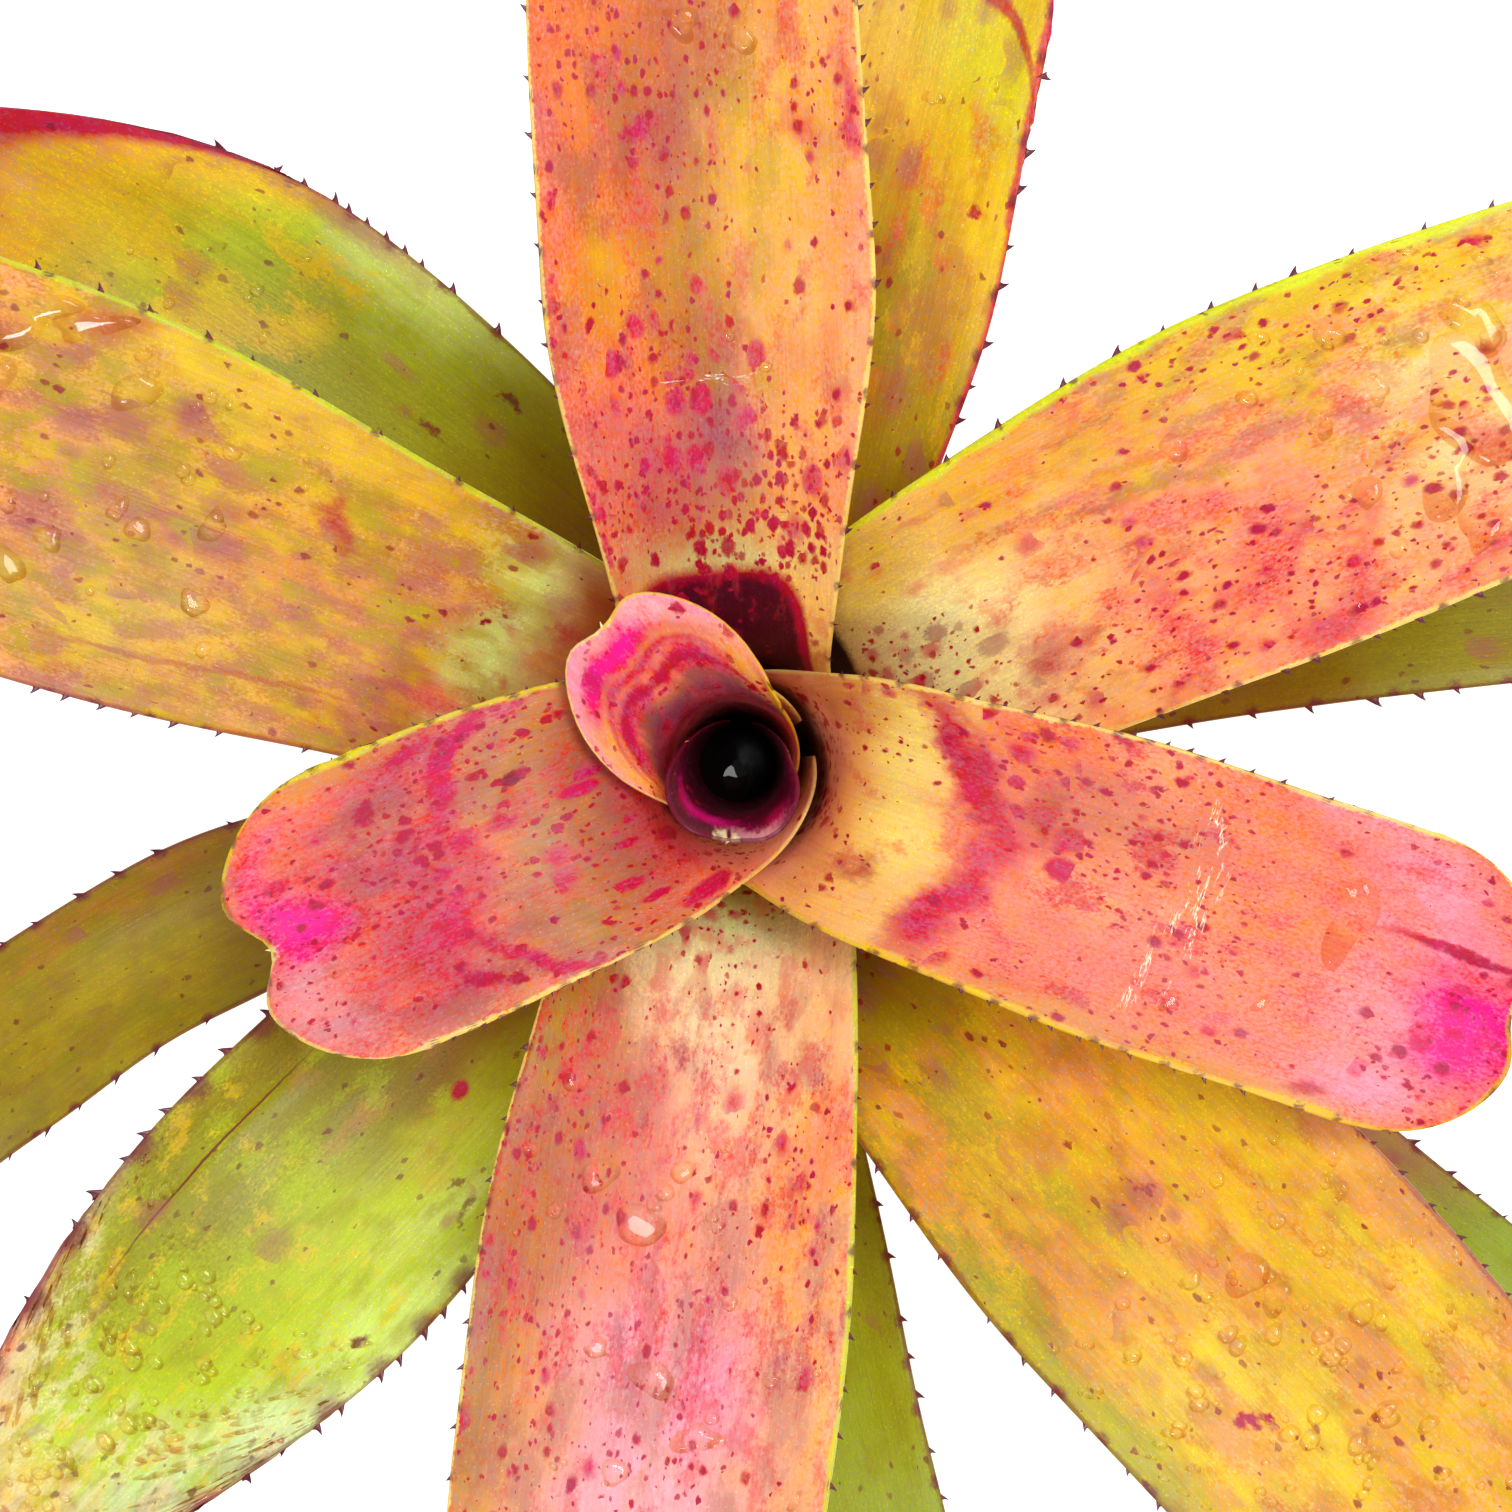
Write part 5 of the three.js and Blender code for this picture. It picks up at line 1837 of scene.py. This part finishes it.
class BROMELIAD_OT_stage(bpy.types.Operator):
    """Adds the floor, the lights and the camera over the cup"""
    bl_idname = "bromeliad.stage"
    bl_label = "Stage"

    def execute(self, context):
        scene = context.scene
        settings = scene.bromeliad_stage
        floor = start_piece(bpy.ops.mesh.primitive_plane_add, "floor",
                            size=FLOOR_SIZE, location=(0, 0, -FLOOR_DROP))
        floor.data.materials.append(Finish("floor").close(
            base_color=(*settings.floor_colour, 1), roughness=0.9,
            emission_color=WHITE, emission_strength=FLOOR_GLOW))

        place = (*CAMERA_PLACE, settings.camera_height)
        bpy.ops.object.camera_add(location=place, rotation=(0, 0, 0))
        camera = context.active_object
        camera.data.lens = settings.lens
        camera.data.sensor_width = SENSOR_WIDTH
        camera.data.clip_start = NEAREST
        scene.camera = camera

        world = bpy.data.worlds.new("soft_sky")
        world.use_nodes = True
        sky = world.node_tree.nodes["Background"]
        sky.inputs["Color"].default_value = WHITE
        sky.inputs["Strength"].default_value = settings.sky
        scene.world = world

        add_light("key", KEY_PLACE, KEY_SIZE, settings.key_power)
        add_light("fill", FILL_PLACE, FILL_SIZE, settings.fill_power)
        scene.view_settings.view_transform = "Standard"
        return {"FINISHED"}


class BROMELIAD_PT_panel(bpy.types.Panel):
    """The parts of the plant, in the sidebar"""
    bl_idname = "BROMELIAD_PT_panel"
    bl_label = "Bromeliad"
    bl_space_type = "VIEW_3D"
    bl_region_type = "UI"
    bl_category = "Bromeliad"

    def draw(self, context):
        for operator in OPERATORS:
            self.layout.operator(operator.bl_idname)


SETTINGS = {
    "bromeliad_palette": PlantPalette,
    "bromeliad_leaves": LeafSettings,
    "bromeliad_stem": StemSettings,
    "bromeliad_water": WaterSettings,
    "bromeliad_stage": StageSettings,
}
OPERATORS = (BROMELIAD_OT_stage, BROMELIAD_OT_stem, BROMELIAD_OT_leaves, BROMELIAD_OT_cup_water,
             BROMELIAD_OT_beads)
CLASSES = (*SETTINGS.values(), *OPERATORS, BROMELIAD_PT_panel)


def register():
    for made in CLASSES:
        bpy.utils.register_class(made)
    for name, made in SETTINGS.items():
        setattr(bpy.types.Scene, name, PointerProperty(type=made))


def unregister():
    for name in SETTINGS:
        delattr(bpy.types.Scene, name)
    for made in reversed(CLASSES):
        bpy.utils.unregister_class(made)


def main():
    register()
    bpy.ops.bromeliad.stage()
    bpy.ops.bromeliad.stem()
    bpy.ops.bromeliad.leaves()
    bpy.ops.bromeliad.cup_water()
    bpy.ops.bromeliad.beads()


if __name__ == "__main__":
    main()
